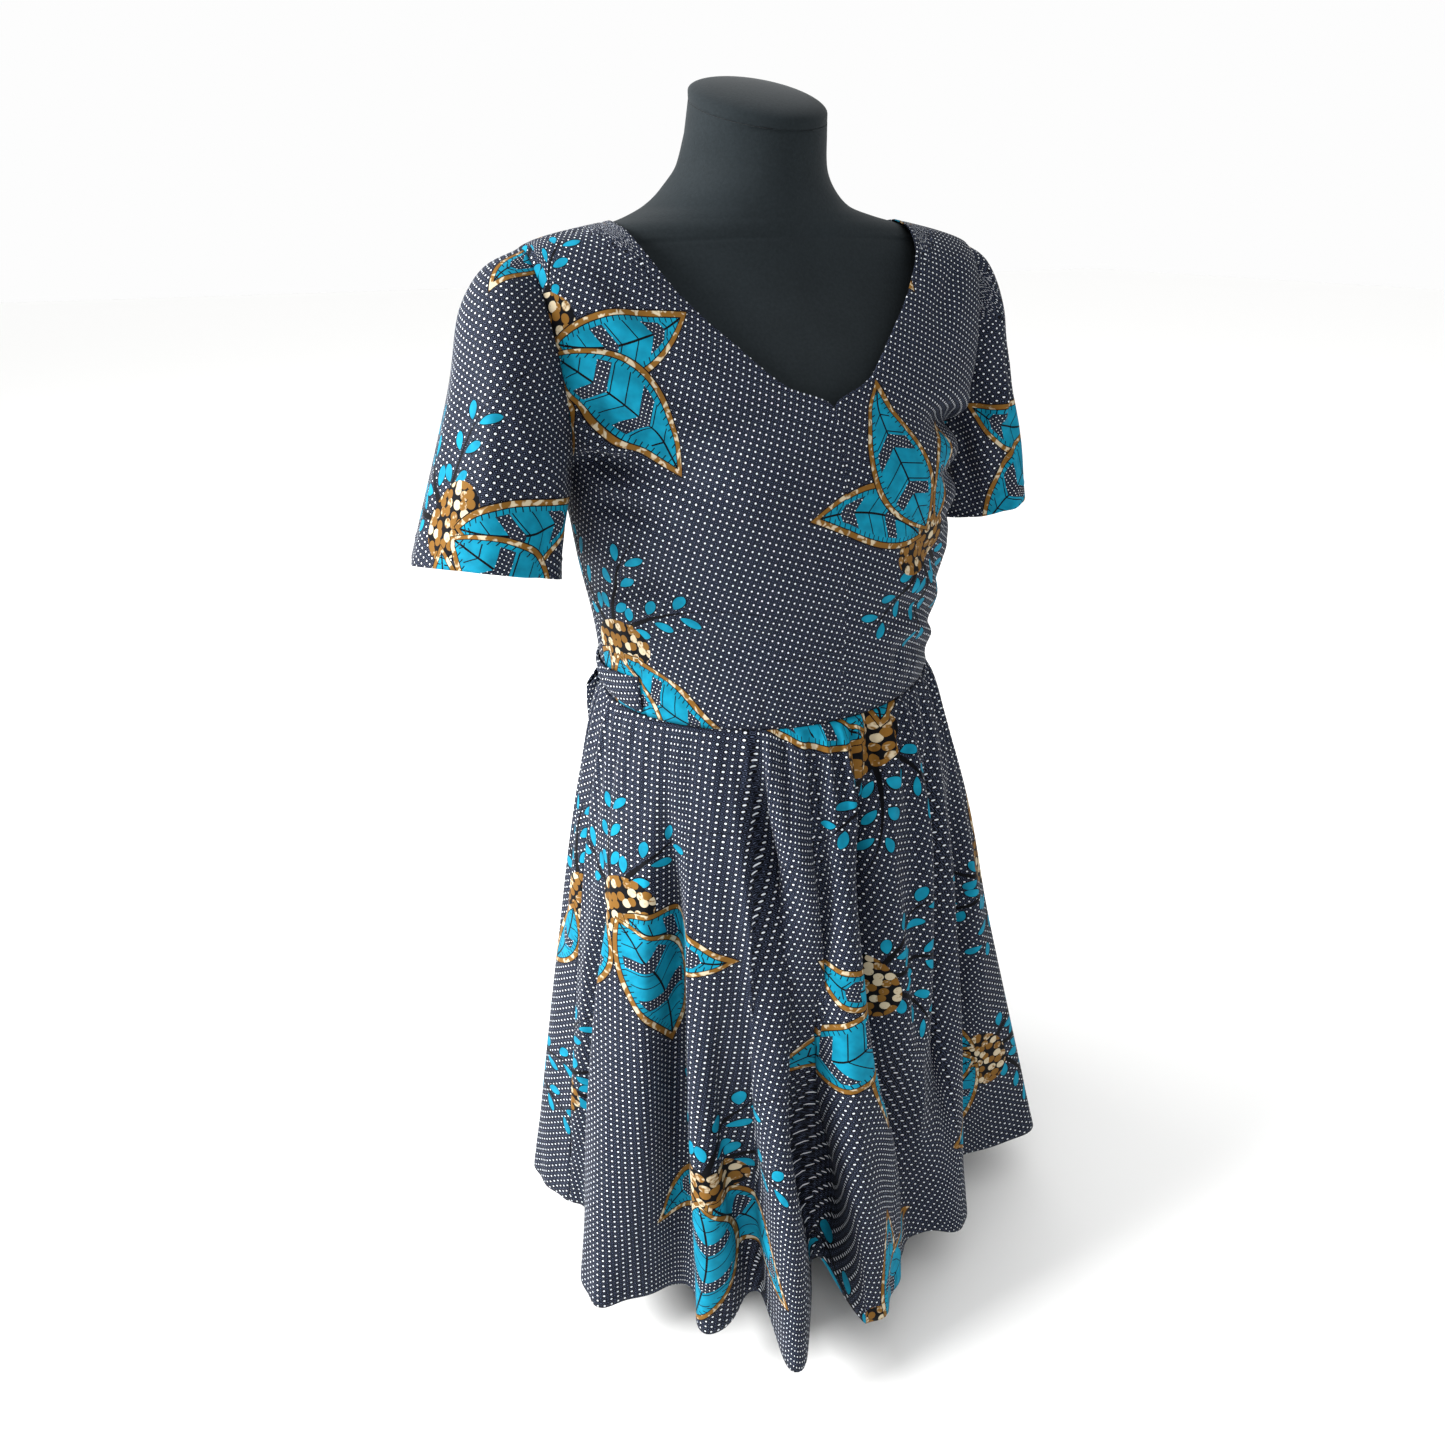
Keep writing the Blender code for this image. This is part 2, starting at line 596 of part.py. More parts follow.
def form_neck_cap(finish, parent):
    """The rounded cap on the slanting neck top."""
    rings = [(0.0, NECK_TOP_RADIUS)]
    for step in range(NECK_DOME_RINGS):
        turn = step / NECK_DOME_RINGS * math.pi / 2.0
        rings.append((NECK_RIM_HEIGHT + NECK_DOME_HEIGHT * math.sin(turn), NECK_TOP_RADIUS * math.cos(turn)))
    points = []
    for height, radius in rings:
        for k in range(FORM_COLUMNS):
            turn = 2.0 * math.pi * k / FORM_COLUMNS
            forward = -radius * math.cos(turn)
            z = FORM_ROWS[-1].height + NECK_TOP_RISE + forward * math.tan(NECK_TILT) + height + REST_GAP
            points.append(Vector((radius * math.sin(turn), NECK_CENTRE_Y + forward, z)))
    faces = grid_faces(FORM_COLUMNS, len(rings), looped=True)
    faces.append(tuple(reversed(range(FORM_COLUMNS))))
    faces.append(tuple(range((len(rings) - 1) * FORM_COLUMNS, len(rings) * FORM_COLUMNS)))
    return place("form_neck_cap", mesh_from("form_neck_cap", points, faces), finish, parent)


def form_stand(finish):
    """The pole and the round base, which rests on the floor."""
    plate = bmesh.new()
    bmesh.ops.create_cone(
        plate,
        cap_ends=True,
        segments=BASE_COLUMNS,
        radius1=BASE_RADIUS,
        radius2=BASE_RADIUS,
        depth=BASE_HEIGHT,
    )
    rim = [edge for edge in plate.edges if all(vert.co.z > 0.0 for vert in edge.verts)]
    bmesh.ops.bevel(
        plate, geom=rim, offset=BASE_BEVEL, segments=BEVEL_STEPS, affect="EDGES", profile=0.5
    )
    plate_mesh = bpy.data.meshes.new("form_base")
    plate.to_mesh(plate_mesh)
    plate.free()
    plate_mesh.shade_smooth()
    plate_mesh.set_sharp_from_angle(angle=SHARP_ANGLE)
    place("form_base", plate_mesh, finish).location = (0.0, 0.0, BASE_HEIGHT / 2.0)

    low = BASE_HEIGHT + REST_GAP
    high = WAIST_Z + FORM_ROWS[0].height - REST_GAP
    rod = bmesh.new()
    bmesh.ops.create_cone(
        rod, cap_ends=True, segments=POLE_COLUMNS, radius1=POLE_RADIUS, radius2=POLE_RADIUS, depth=high - low
    )
    rod_mesh = bpy.data.meshes.new("form_pole")
    rod.to_mesh(rod_mesh)
    rod.free()
    rod_mesh.shade_smooth()
    rod_mesh.set_sharp_from_angle(angle=SHARP_ANGLE)
    place("form_pole", rod_mesh, finish).location = (0.0, 0.0, (low + high) / 2.0)


def build():
    """Builds the form, then the dress on it."""
    for old in list(bpy.data.objects):
        bpy.data.objects.remove(old)
    waist = bpy.data.objects.new("waist_level", None)
    waist.location = (0.0, 0.0, WAIST_Z)
    bpy.context.collection.objects.link(waist)

    cotton = material("printed_cotton", PRINT_NAVY, 0.75)
    jersey = material("black_jersey", JERSEY_BLACK, 0.85)
    steel = material("black_steel", STEEL_BLACK, 0.45, 1.0)

    form_stand(steel)
    form_torso(jersey, waist)
    form_neck_cap(jersey, waist)
    bodice_panel("bodice_front", True, cotton, waist)
    bodice_panel("bodice_back", False, cotton, waist)
    skirt_panel("skirt_front", True, cotton, waist)
    skirt_panel("skirt_back", False, cotton, waist)
    knot("bow_knot", cotton, waist)
    for word, side in (("right", -1), ("left", 1)):
        sleeve("sleeve_" + word, side, cotton, waist)
        sash("tie_" + word, side, cotton, waist)
        bow_loop("bow_loop_" + word, side, cotton, waist)
        bow_tail("bow_tail_" + word, side, cotton, waist)


build()
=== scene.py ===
"""Looks of a printed cotton dress with a V neck, short sleeves and a gathered, flared skirt.

It is shown on a limbless dress form covered in black jersey. Metres, +Z up, the front faces -Y
and the wearer's right is -X. Heights in the tables are measured from the waist seam.
"""
from __future__ import annotations

import logging
import math
from dataclasses import dataclass, field
from enum import Enum
from functools import partial
from typing import Any, Callable, NamedTuple, Sequence

import bmesh
import bpy
import numpy as np
from mathutils import Matrix, Vector

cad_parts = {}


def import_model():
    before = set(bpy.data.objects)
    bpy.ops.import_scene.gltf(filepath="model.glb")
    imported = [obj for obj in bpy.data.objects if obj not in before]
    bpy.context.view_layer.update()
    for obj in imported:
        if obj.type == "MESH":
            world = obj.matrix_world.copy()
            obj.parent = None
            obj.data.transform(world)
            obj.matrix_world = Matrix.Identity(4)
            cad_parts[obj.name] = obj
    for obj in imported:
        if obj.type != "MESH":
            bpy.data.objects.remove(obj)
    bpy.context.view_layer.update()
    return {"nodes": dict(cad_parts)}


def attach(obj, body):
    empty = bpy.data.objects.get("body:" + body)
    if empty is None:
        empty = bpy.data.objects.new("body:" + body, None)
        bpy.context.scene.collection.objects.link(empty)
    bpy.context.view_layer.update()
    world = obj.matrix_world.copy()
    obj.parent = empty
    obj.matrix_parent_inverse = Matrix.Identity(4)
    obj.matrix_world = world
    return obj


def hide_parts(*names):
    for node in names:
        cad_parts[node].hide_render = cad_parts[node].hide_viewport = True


LOG = logging.getLogger("dress")

# Sizes shared with the solids
WAIST_Z = 0.580
SKIRT_LENGTH = 0.528
CLOTH = 0.0012
SEAM_GAP = 0.0004
REST_GAP = 0.0003
# The left armhole: its ends at the shoulder and under the arm, and its depth before and behind
ARMHOLE_TIP = (0.1925, 0.006, 0.354)
ARMHOLE_UNDER = (0.172, 0.0, 0.195)
ARMHOLE_FRONT = 0.040
ARMHOLE_BACK = 0.050
# A crease's ends, how it widens and the soft lip on each side, as shares of its length and width
CREASE_START = (-0.25, 0.3)
CREASE_END = (0.7, 1.25)
CREASE_OPENS = (0.7, 0.6)
CREASE_LIP = 0.35
CREASE_LIP_OFF = 2.1
# Lengths that count as nothing, and how close two points are one
TINY = 1e-9
MERGE = 1e-6


class Side(Enum):
    """The wearer's sides, as the sign of X."""

    RIGHT = -1
    LEFT = 1


class Half(Enum):
    """Which half of the garment a panel covers, as its middle angle from the front."""

    FRONT = 0
    BACK = 180


class Held(Enum):
    DRAPED = "draped"
    HUNG = "hung"
    GATHERED = "gathered"
    FOLDED = "folded"


class PanelRow(NamedTuple):
    """One level of a bodice half: its centre line or neckline, and its side seam or armhole."""

    edge_x: float
    edge_y: float
    edge_z: float
    side_x: float | None
    side_z: float | None
    armhole_angle: float | None


class SleeveRow(NamedTuple):
    """One station of a sleeve: outer line, inner line, and the depth before and behind them."""

    outer_x: float
    outer_z: float
    inner_x: float
    inner_z: float
    front: float
    back: float


class Hang(NamedTuple):
    """How a sleeve hangs: outer line drawn in, hem swung back, front hem lifted."""

    tuck: float
    swing: float
    lift: float


class Flute(NamedTuple):
    """One outward flute of the hem and the valley after it, angles from the front."""

    crest_angle: float
    crest_radius: float
    valley_angle: float
    valley_radius: float


class FormRow(NamedTuple):
    """One section of the dress form."""

    height: float
    half_width: float
    front: float
    back: float
    ridge: float
    rounding: float


class Crease(NamedTuple):
    """A soft trough, or ridge where depth is below zero, between two places of the flat cloth."""

    start: tuple[float, float]
    end: tuple[float, float]
    depth: float
    width: float
    bow: float = 0.0


class Line(NamedTuple):
    """A pressed seam or stitch line: how far from an edge it runs, its depth and its width."""

    at: float
    depth: float
    width: float


class Wave(NamedTuple):
    """A small wave of the cloth: its height, how fast it turns and its phase."""

    height: float
    turns: float
    phase: float = 0.0

    def at(self, place: np.ndarray, drift: np.ndarray | float = 0.0) -> np.ndarray:
        """Reads the wave.

        Args:
            place: The places to read.
            drift: What each place adds to the phase.

        Returns:
            The height at each place.
        """
        return self.height * np.sin(self.turns * place + self.phase + drift)


class Cut(NamedTuple):
    """A piece's cut: its part, width and length, area if not a rectangle, and place on the print."""

    part: Half | Side
    flat: tuple[float, float]
    area: float | None
    print_at: tuple[float, float]


class Fold(NamedTuple):
    """A fold of the skirt: its angles at five shares of its run, the run, its depth and width."""

    angles: tuple[float, float, float, float, float]
    top_share: float
    low_share: float
    depth: float
    width: float


class Leaf(NamedTuple):
    """A leaf of the print, in millimetres from the middle of its spray."""

    base_x: float
    base_y: float
    turn: float
    length: float
    half_width: float
    bow: float


class Kind(NamedTuple):
    """A kind of node: its type, its own settings and the output that is used."""

    type: str
    settings: dict[str, str] = {}
    out: int | str = 0


Put = Callable[..., Any]

# Kinds of node used in the finishes
MATH, VECTOR, MIXER = "ShaderNodeMath", "ShaderNodeVectorMath", "ShaderNodeMix"
PLUS = Kind(MATH, {"operation": "ADD"})
MINUS = Kind(MATH, {"operation": "SUBTRACT"})
TIMES = Kind(MATH, {"operation": "MULTIPLY"})
TIMES_PLUS = Kind(MATH, {"operation": "MULTIPLY_ADD"})
OVER = Kind(MATH, {"operation": "DIVIDE"})
MODULO = Kind(MATH, {"operation": "FLOORED_MODULO"})
FLOOR = Kind(MATH, {"operation": "FLOOR"})
SIZE = Kind(MATH, {"operation": "ABSOLUTE"})
POWER = Kind(MATH, {"operation": "POWER"})
BEARING = Kind(MATH, {"operation": "ARCTAN2"})
BELOW = Kind(MATH, {"operation": "LESS_THAN"})
ABOVE = Kind(MATH, {"operation": "GREATER_THAN"})
NEAR = Kind(MATH, {"operation": "COMPARE"})
HIGHEST = Kind(MATH, {"operation": "MAXIMUM"})
V_MINUS = Kind(VECTOR, {"operation": "SUBTRACT"})
V_TIMES = Kind(VECTOR, {"operation": "MULTIPLY"})
V_TIMES_PLUS = Kind(VECTOR, {"operation": "MULTIPLY_ADD"})
V_SCALE = Kind(VECTOR, {"operation": "SCALE"})
V_FRACTION = Kind(VECTOR, {"operation": "FRACTION"})
V_SIZE = Kind(VECTOR, {"operation": "ABSOLUTE"})
V_LENGTH = Kind(VECTOR, {"operation": "LENGTH"}, "Value")
V_DOT = Kind(VECTOR, {"operation": "DOT_PRODUCT"}, "Value")
MIX = Kind(MIXER)
BLEND = Kind(MIXER, {"data_type": "RGBA"}, 2)
RANGE = Kind("ShaderNodeMapRange")
JOIN = Kind("ShaderNodeCombineXYZ")
SPLIT = Kind("ShaderNodeSeparateXYZ")
MAPPING = Kind("ShaderNodeMapping", {"vector_type": "TEXTURE"})
TURN = Kind("ShaderNodeVectorRotate", {"rotation_type": "Z_AXIS"})
NOISE = Kind("ShaderNodeTexNoise", {}, "Fac")
VORONOI = Kind("ShaderNodeTexVoronoi")
CHECKER = Kind("ShaderNodeTexChecker", {}, "Fac")
CHANCE = Kind("ShaderNodeTexWhiteNoise", {"noise_dimensions": "2D"})
FLAT = Kind("ShaderNodeUVMap")
OBJECT_PLACE = Kind("ShaderNodeTexCoord", {}, "Object")
SKY_PLACE = Kind("ShaderNodeTexCoord", {}, "Generated")
BUMP = Kind("ShaderNodeBump")


def table(row: type, *rows: tuple) -> tuple:
    """Makes a table with named columns.

    Args:
        row: The rows' type.
        *rows: Their values.

    Returns:
        The rows.
    """
    return tuple(row(*values) for values in rows)


FRONT_ROWS = table(
    PanelRow,
    (0.0, -0.129, 0.0, 0.1466, 0.0, None),
    (0.0, -0.1315, 0.06, 0.153, 0.06, None),
    (0.0, -0.133, 0.125, 0.164, 0.12, None),
    (0.0, -0.1285, 0.185, 0.17, 0.17, None),
    (0.0, -0.1105, 0.2425, None, None, 180.0),
    (0.036, -0.099, 0.262, None, None, 140.0),
    (0.066, -0.081, 0.29, None, None, 100.0),
    (0.095, -0.06, 0.32, None, None, 60.0),
    (0.114, -0.042, 0.349, None, None, 30.0),
    (0.1225, -0.017, 0.3685, None, None, 12.0),
    (0.1256, 0.006, 0.374, None, None, 0.0),
)
BACK_ROWS = table(
    PanelRow,
    (0.0, 0.107, 0.0, 0.1466, 0.0, None),
    (0.0, 0.104, 0.06, 0.153, 0.06, None),
    (0.0, 0.109, 0.125, 0.164, 0.12, None),
    (0.0, 0.118, 0.185, 0.17, 0.17, None),
    (0.0, 0.121, 0.24, None, None, 180.0),
    (0.0, 0.118, 0.285, None, None, 140.0),
    (0.0, 0.104, 0.335, None, None, 100.0),
    (0.045, 0.098, 0.343, None, None, 60.0),
    (0.09, 0.073, 0.36, None, None, 30.0),
    (0.117, 0.034, 0.37, None, None, 12.0),
    (0.1256, 0.006, 0.374, None, None, 0.0),
)
SLEEVE_ROWS = table(
    SleeveRow,
    (0.217, 0.344, 0.1755, 0.186, 0.05, 0.058),
    (0.237, 0.316, 0.179, 0.172, 0.058, 0.065),
    (0.248, 0.268, 0.1815, 0.155, 0.065, 0.071),
    (0.264, 0.215, 0.1835, 0.138, 0.07, 0.076),
    (0.278, 0.172, 0.185, 0.123, 0.073, 0.079),
    (0.29, 0.135, 0.186, 0.109, 0.075, 0.081),
)
FLUTES = table(
    Flute,
    (-175.0, 0.253, -157.0, 0.205),
    (-140.0, 0.25, -122.0, 0.203),
    (-103.0, 0.24, -84.0, 0.207),
    (-65.0, 0.254, -49.0, 0.2),
    (-40.0, 0.236, -30.0, 0.195),
    (-22.0, 0.262, -11.5, 0.168),
    (-6.5, 0.241, 17.0, 0.196),
    (28.0, 0.227, 45.0, 0.197),
    (62.0, 0.284, 79.0, 0.222),
    (92.0, 0.263, 106.0, 0.214),
    (121.0, 0.262, 137.0, 0.21),
    (153.0, 0.258, 169.0, 0.208),
)
FORM_ROWS = table(
    FormRow,
    (-0.2, 0.15, 0.098, 0.112, 0.0, 2.0),
    (-0.185, 0.157, 0.104, 0.119, 0.0, 2.0),
    (-0.12, 0.156, 0.109, 0.116, 0.0, 2.0),
    (-0.06, 0.144, 0.11, 0.102, 0.0, 2.0),
    (0.0, 0.137, 0.115, 0.096, 0.0, 2.0),
    (0.06, 0.143, 0.121, 0.095, 0.0, 2.0),
    (0.12, 0.154, 0.122, 0.1, 0.0, 2.0),
    (0.18, 0.16, 0.115, 0.108, 0.0, 2.0),
    (0.2425, 0.165, 0.101, 0.11, 0.0, 2.0),
    (0.27, 0.169, 0.086, 0.106, 0.001, 2.0),
    (0.3, 0.174, 0.067, 0.099, 0.002, 1.9),
    (0.325, 0.177, 0.053, 0.09, 0.004, 1.7),
    (0.345, 0.175, 0.046, 0.083, 0.005, 1.5),
    (0.358, 0.164, 0.043, 0.078, 0.006, 1.4),
    (0.366, 0.144, 0.042, 0.074, 0.006, 1.4),
    (0.371, 0.128, 0.042, 0.071, 0.008, 1.4),
    (0.376, 0.11, 0.041, 0.07, 0.016, 1.5),
    (0.384, 0.088, 0.041, 0.07, 0.03, 1.7),
    (0.397, 0.07, 0.04, 0.07, 0.036, 2.0),
    (0.414, 0.059, 0.04, 0.07, 0.028, 2.0),
    (0.436, 0.055, 0.04, 0.069, 0.017, 2.0),
)

# Soft troughs of the bodice front, (across, up) in metres from the centre of the waist seam
FRONT_CREASES = table(
    Crease,
    ((-0.196, 0.262), (-0.112, 0.226), 0.008, 0.011, 0.004),
    ((-0.192, 0.212), (-0.105, 0.206), 0.0075, 0.01, 0.004),
    ((-0.196, 0.176), (-0.13, 0.172), 0.0045, 0.008, -0.003),
    ((-0.172, 0.305), (-0.104, 0.258), 0.0045, 0.012, -0.004),
    ((-0.195, 0.105), (-0.14, 0.128), 0.0035, 0.009),
    ((0.205, 0.205), (0.104, 0.222), 0.0075, 0.01, 0.005),
    ((0.205, 0.172), (0.112, 0.182), 0.006, 0.0085, -0.004),
    ((0.2, 0.142), (0.13, 0.134), 0.004, 0.008),
    ((-0.11, 0.07), (-0.03, 0.088), 0.0025, 0.009, 0.004),
    ((0.15, 0.04), (0.045, 0.086), 0.0055, 0.009, 0.006),
    ((0.14, 0.016), (0.06, 0.048), 0.004, 0.007, 0.004),
    ((0.15, 0.08), (0.07, 0.128), 0.004, 0.01, 0.006),
    ((-0.16, 0.038), (-0.112, 0.024), 0.003, 0.007),
    ((-0.15, 0.35), (-0.11, 0.305), 0.003, 0.01),
    ((0.155, 0.35), (0.115, 0.31), 0.003, 0.01),
    ((-0.034, 0.236), (0.02, 0.216), 0.0018, 0.007),
    ((0.03, 0.0), (0.036, 0.04), 0.0013, 0.004),
    ((0.052, 0.0), (0.06, 0.05), 0.0016, 0.0042),
    ((0.074, 0.0), (0.084, 0.034), 0.0013, 0.0038),
    ((-0.02, 0.0), (-0.018, 0.028), 0.0009, 0.004),
    ((-0.06, 0.0), (-0.066, 0.036), 0.0011, 0.0042),
    ((-0.094, 0.0), (-0.104, 0.03), 0.001, 0.0038),
)
BACK_CREASES = table(
    Crease,
    ((-0.2, 0.205), (-0.11, 0.225), 0.005, 0.009, 0.004),
    ((-0.2, 0.172), (-0.12, 0.178), 0.004, 0.008, -0.003),
    ((0.2, 0.204), (0.115, 0.218), 0.005, 0.009, 0.005),
    ((0.2, 0.168), (0.125, 0.17), 0.004, 0.008, -0.004),
    ((-0.11, 0.06), (-0.02, 0.08), 0.004, 0.009, 0.005),
    ((0.115, 0.052), (0.025, 0.084), 0.004, 0.009, 0.005),
    ((-0.12, 0.098), (-0.04, 0.112), 0.003, 0.009, -0.004),
    ((0.11, 0.104), (0.04, 0.122), 0.0028, 0.009, 0.004),
    ((-0.14, 0.33), (-0.08, 0.3), 0.0013, 0.008),
    ((0.14, 0.335), (0.085, 0.3), 0.0013, 0.008),
    ((-0.04, 0.0), (-0.044, 0.036), 0.0011, 0.0042),
    ((0.046, 0.0), (0.05, 0.032), 0.0011, 0.0042),
)
# Sleeve troughs: (round from the outer line through the front, down from the armhole)
SLEEVE_CREASES = {
    Side.RIGHT: table(
        Crease,
        ((0.15, 0.006), (0.1, 0.08), 0.0055, 0.0105, 0.006),
        ((0.172, 0.01), (0.14, 0.085), 0.005, 0.0095, -0.004),
        ((0.196, 0.004), (0.186, 0.058), 0.0022, 0.007),
        ((-0.162, 0.006), (-0.138, 0.07), 0.0024, 0.0075, -0.005),
        ((-0.114, 0.01), (-0.082, 0.066), 0.0018, 0.0075, 0.005),
        ((0.06, 0.095), (0.052, 0.19), 0.0035, 0.014, 0.004),
        ((0.112, 0.11), (0.098, 0.19), 0.0035, 0.012, -0.003),
    ),
    Side.LEFT: table(
        Crease,
        ((0.12, 0.01), (0.08, 0.085), 0.006, 0.011, 0.006),
        ((0.15, 0.01), (0.126, 0.1), 0.006, 0.01, -0.005),
        ((0.172, 0.006), (0.164, 0.08), 0.0026, 0.007),
        ((-0.174, 0.006), (-0.15, 0.074), 0.0026, 0.008, -0.005),
        ((-0.12, 0.01), (-0.09, 0.07), 0.002, 0.008, 0.005),
        ((0.05, 0.06), (0.062, 0.18), 0.0045, 0.013, 0.006),
        ((0.096, 0.11), (0.108, 0.185), 0.004, 0.011, -0.004),
    ),
}
# Skirt folds, which start below the waist seam and run into the hem's valleys or die out
SKIRT_FOLDS = table(
    Fold,
    ((-54.0, -52.0, -51.0, -50.0, -48.0), 0.1, 1.0, 0.023, 3.2),
    ((-30.0, -23.0, -19.0, -14.0, -10.0), 0.02, 1.04, 0.04, 4.0),
    ((8.0, 2.5, 4.0, 12.0, 17.0), 0.0, 1.02, 0.033, 3.8),
    ((36.0, 31.0, 28.0, 25.0, 24.0), 0.03, 0.94, 0.027, 3.4),
    ((-38.0, -37.0, -35.0, -32.0, -30.0), 0.4, 1.05, 0.01, 2.4),
    ((-75.0, -78.0, -80.0, -82.0, -84.0), 0.26, 1.0, 0.016, 3.2),
    ((52.0, 50.0, 48.0, 46.0, 45.0), 0.16, 1.0, 0.019, 2.8),
    ((66.0, 70.0, 74.0, 77.0, 79.0), 0.08, 0.95, 0.018, 3.2),
    ((98.0, 101.0, 104.0, 106.0, 106.0), 0.04, 0.96, 0.02, 3.2),
    ((124.0, 127.0, 131.0, 135.0, 137.0), 0.02, 1.0, 0.024, 3.2),
    ((151.0, 150.0, 151.0, 153.0, 154.0), 0.03, 0.5, 0.007, 3.4),
    ((176.0, 173.0, 171.0, 170.0, 169.0), 0.02, 1.0, 0.024, 3.2),
    ((-163.0, -161.0, -159.0, -158.0, -157.0), 0.06, 0.96, 0.022, 3.2),
    ((-142.0, -144.0, -144.0, -143.0, -142.0), 0.02, 0.46, 0.007, 3.4),
    ((-127.0, -125.0, -124.0, -123.0, -122.0), 0.03, 1.0, 0.023, 3.2),
    ((-106.0, -104.0, -102.0, -101.0, -100.0), 0.1, 0.55, 0.005, 3.6),
)
# How strong the waist gathers are, by angle from the front
GATHERING = (
    (-180.0, 0.9),
    (-135.0, 1.0),
    (-95.0, 0.5),
    (-62.0, 0.2),
    (-36.0, 0.35),
    (-14.0, 1.0),
    (24.0, 1.15),
    (52.0, 0.9),
    (90.0, 0.5),
    (135.0, 1.0),
    (180.0, 0.9),
)
PANEL_ROWS = {Half.FRONT: FRONT_ROWS, Half.BACK: BACK_ROWS}
PANEL_CREASES = {Half.FRONT: FRONT_CREASES, Half.BACK: BACK_CREASES}


def linear(code: str) -> tuple[float, float, float, float]:
    """Turns an sRGB hex colour to linear.

    Args:
        code: Six hex digits, with or without a leading #.

    Returns:
        Linear red, green, blue and a full alpha.
    """
    digits = code.lstrip("#")
    shares = [int(digits[k : k + 2], 16) / 255.0 for k in (0, 2, 4)]
    return (*[c / 12.92 if c <= 0.04045 else ((c + 0.055) / 1.055) ** 2.4 for c in shares], 1.0)


def feed(node: bpy.types.Node, inputs: Any) -> None:
    """Links sockets to a node's inputs, and sets plain values on them directly.

    Args:
        node: The node.
        inputs: Values or sockets, in input order or by input name or number.
    """
    for slot, value in inputs.items() if isinstance(inputs, dict) else enumerate(inputs):
        if isinstance(value, bpy.types.NodeSocket):
            node.id_data.links.new(value, node.inputs[slot])
        else:
            node.inputs[slot].default_value = value


def add(
    tree: bpy.types.NodeTree, kind: Kind, inputs: Any = (), out: int | str | None = None, **settings: Any
) -> Any:
    """Adds a node with its settings and links.

    Args:
        tree: The node tree to add to.
        kind: The kind of node.
        inputs: Values or sockets, in input order or by input name or number.
        out: Which output to return, where it isn't the kind's own.
        **settings: More of the node's properties.

    Returns:
        The chosen output socket.
    """
    made = tree.nodes.new(kind.type)
    for name, value in (kind.settings | settings).items():
        setattr(made, name, value)
    feed(made, inputs)
    return made.outputs[kind.out if out is None else out]


def start_material(name: str) -> tuple[bpy.types.Material, Put, bpy.types.Node]:
    """Starts a material.

    Args:
        name: The material's name.

    Returns:
        The material, what adds a node to it, and its main shader.
    """
    made = bpy.data.materials.new(name)
    made.use_nodes = True
    return made, partial(add, made.node_tree), made.node_tree.nodes["Principled BSDF"]


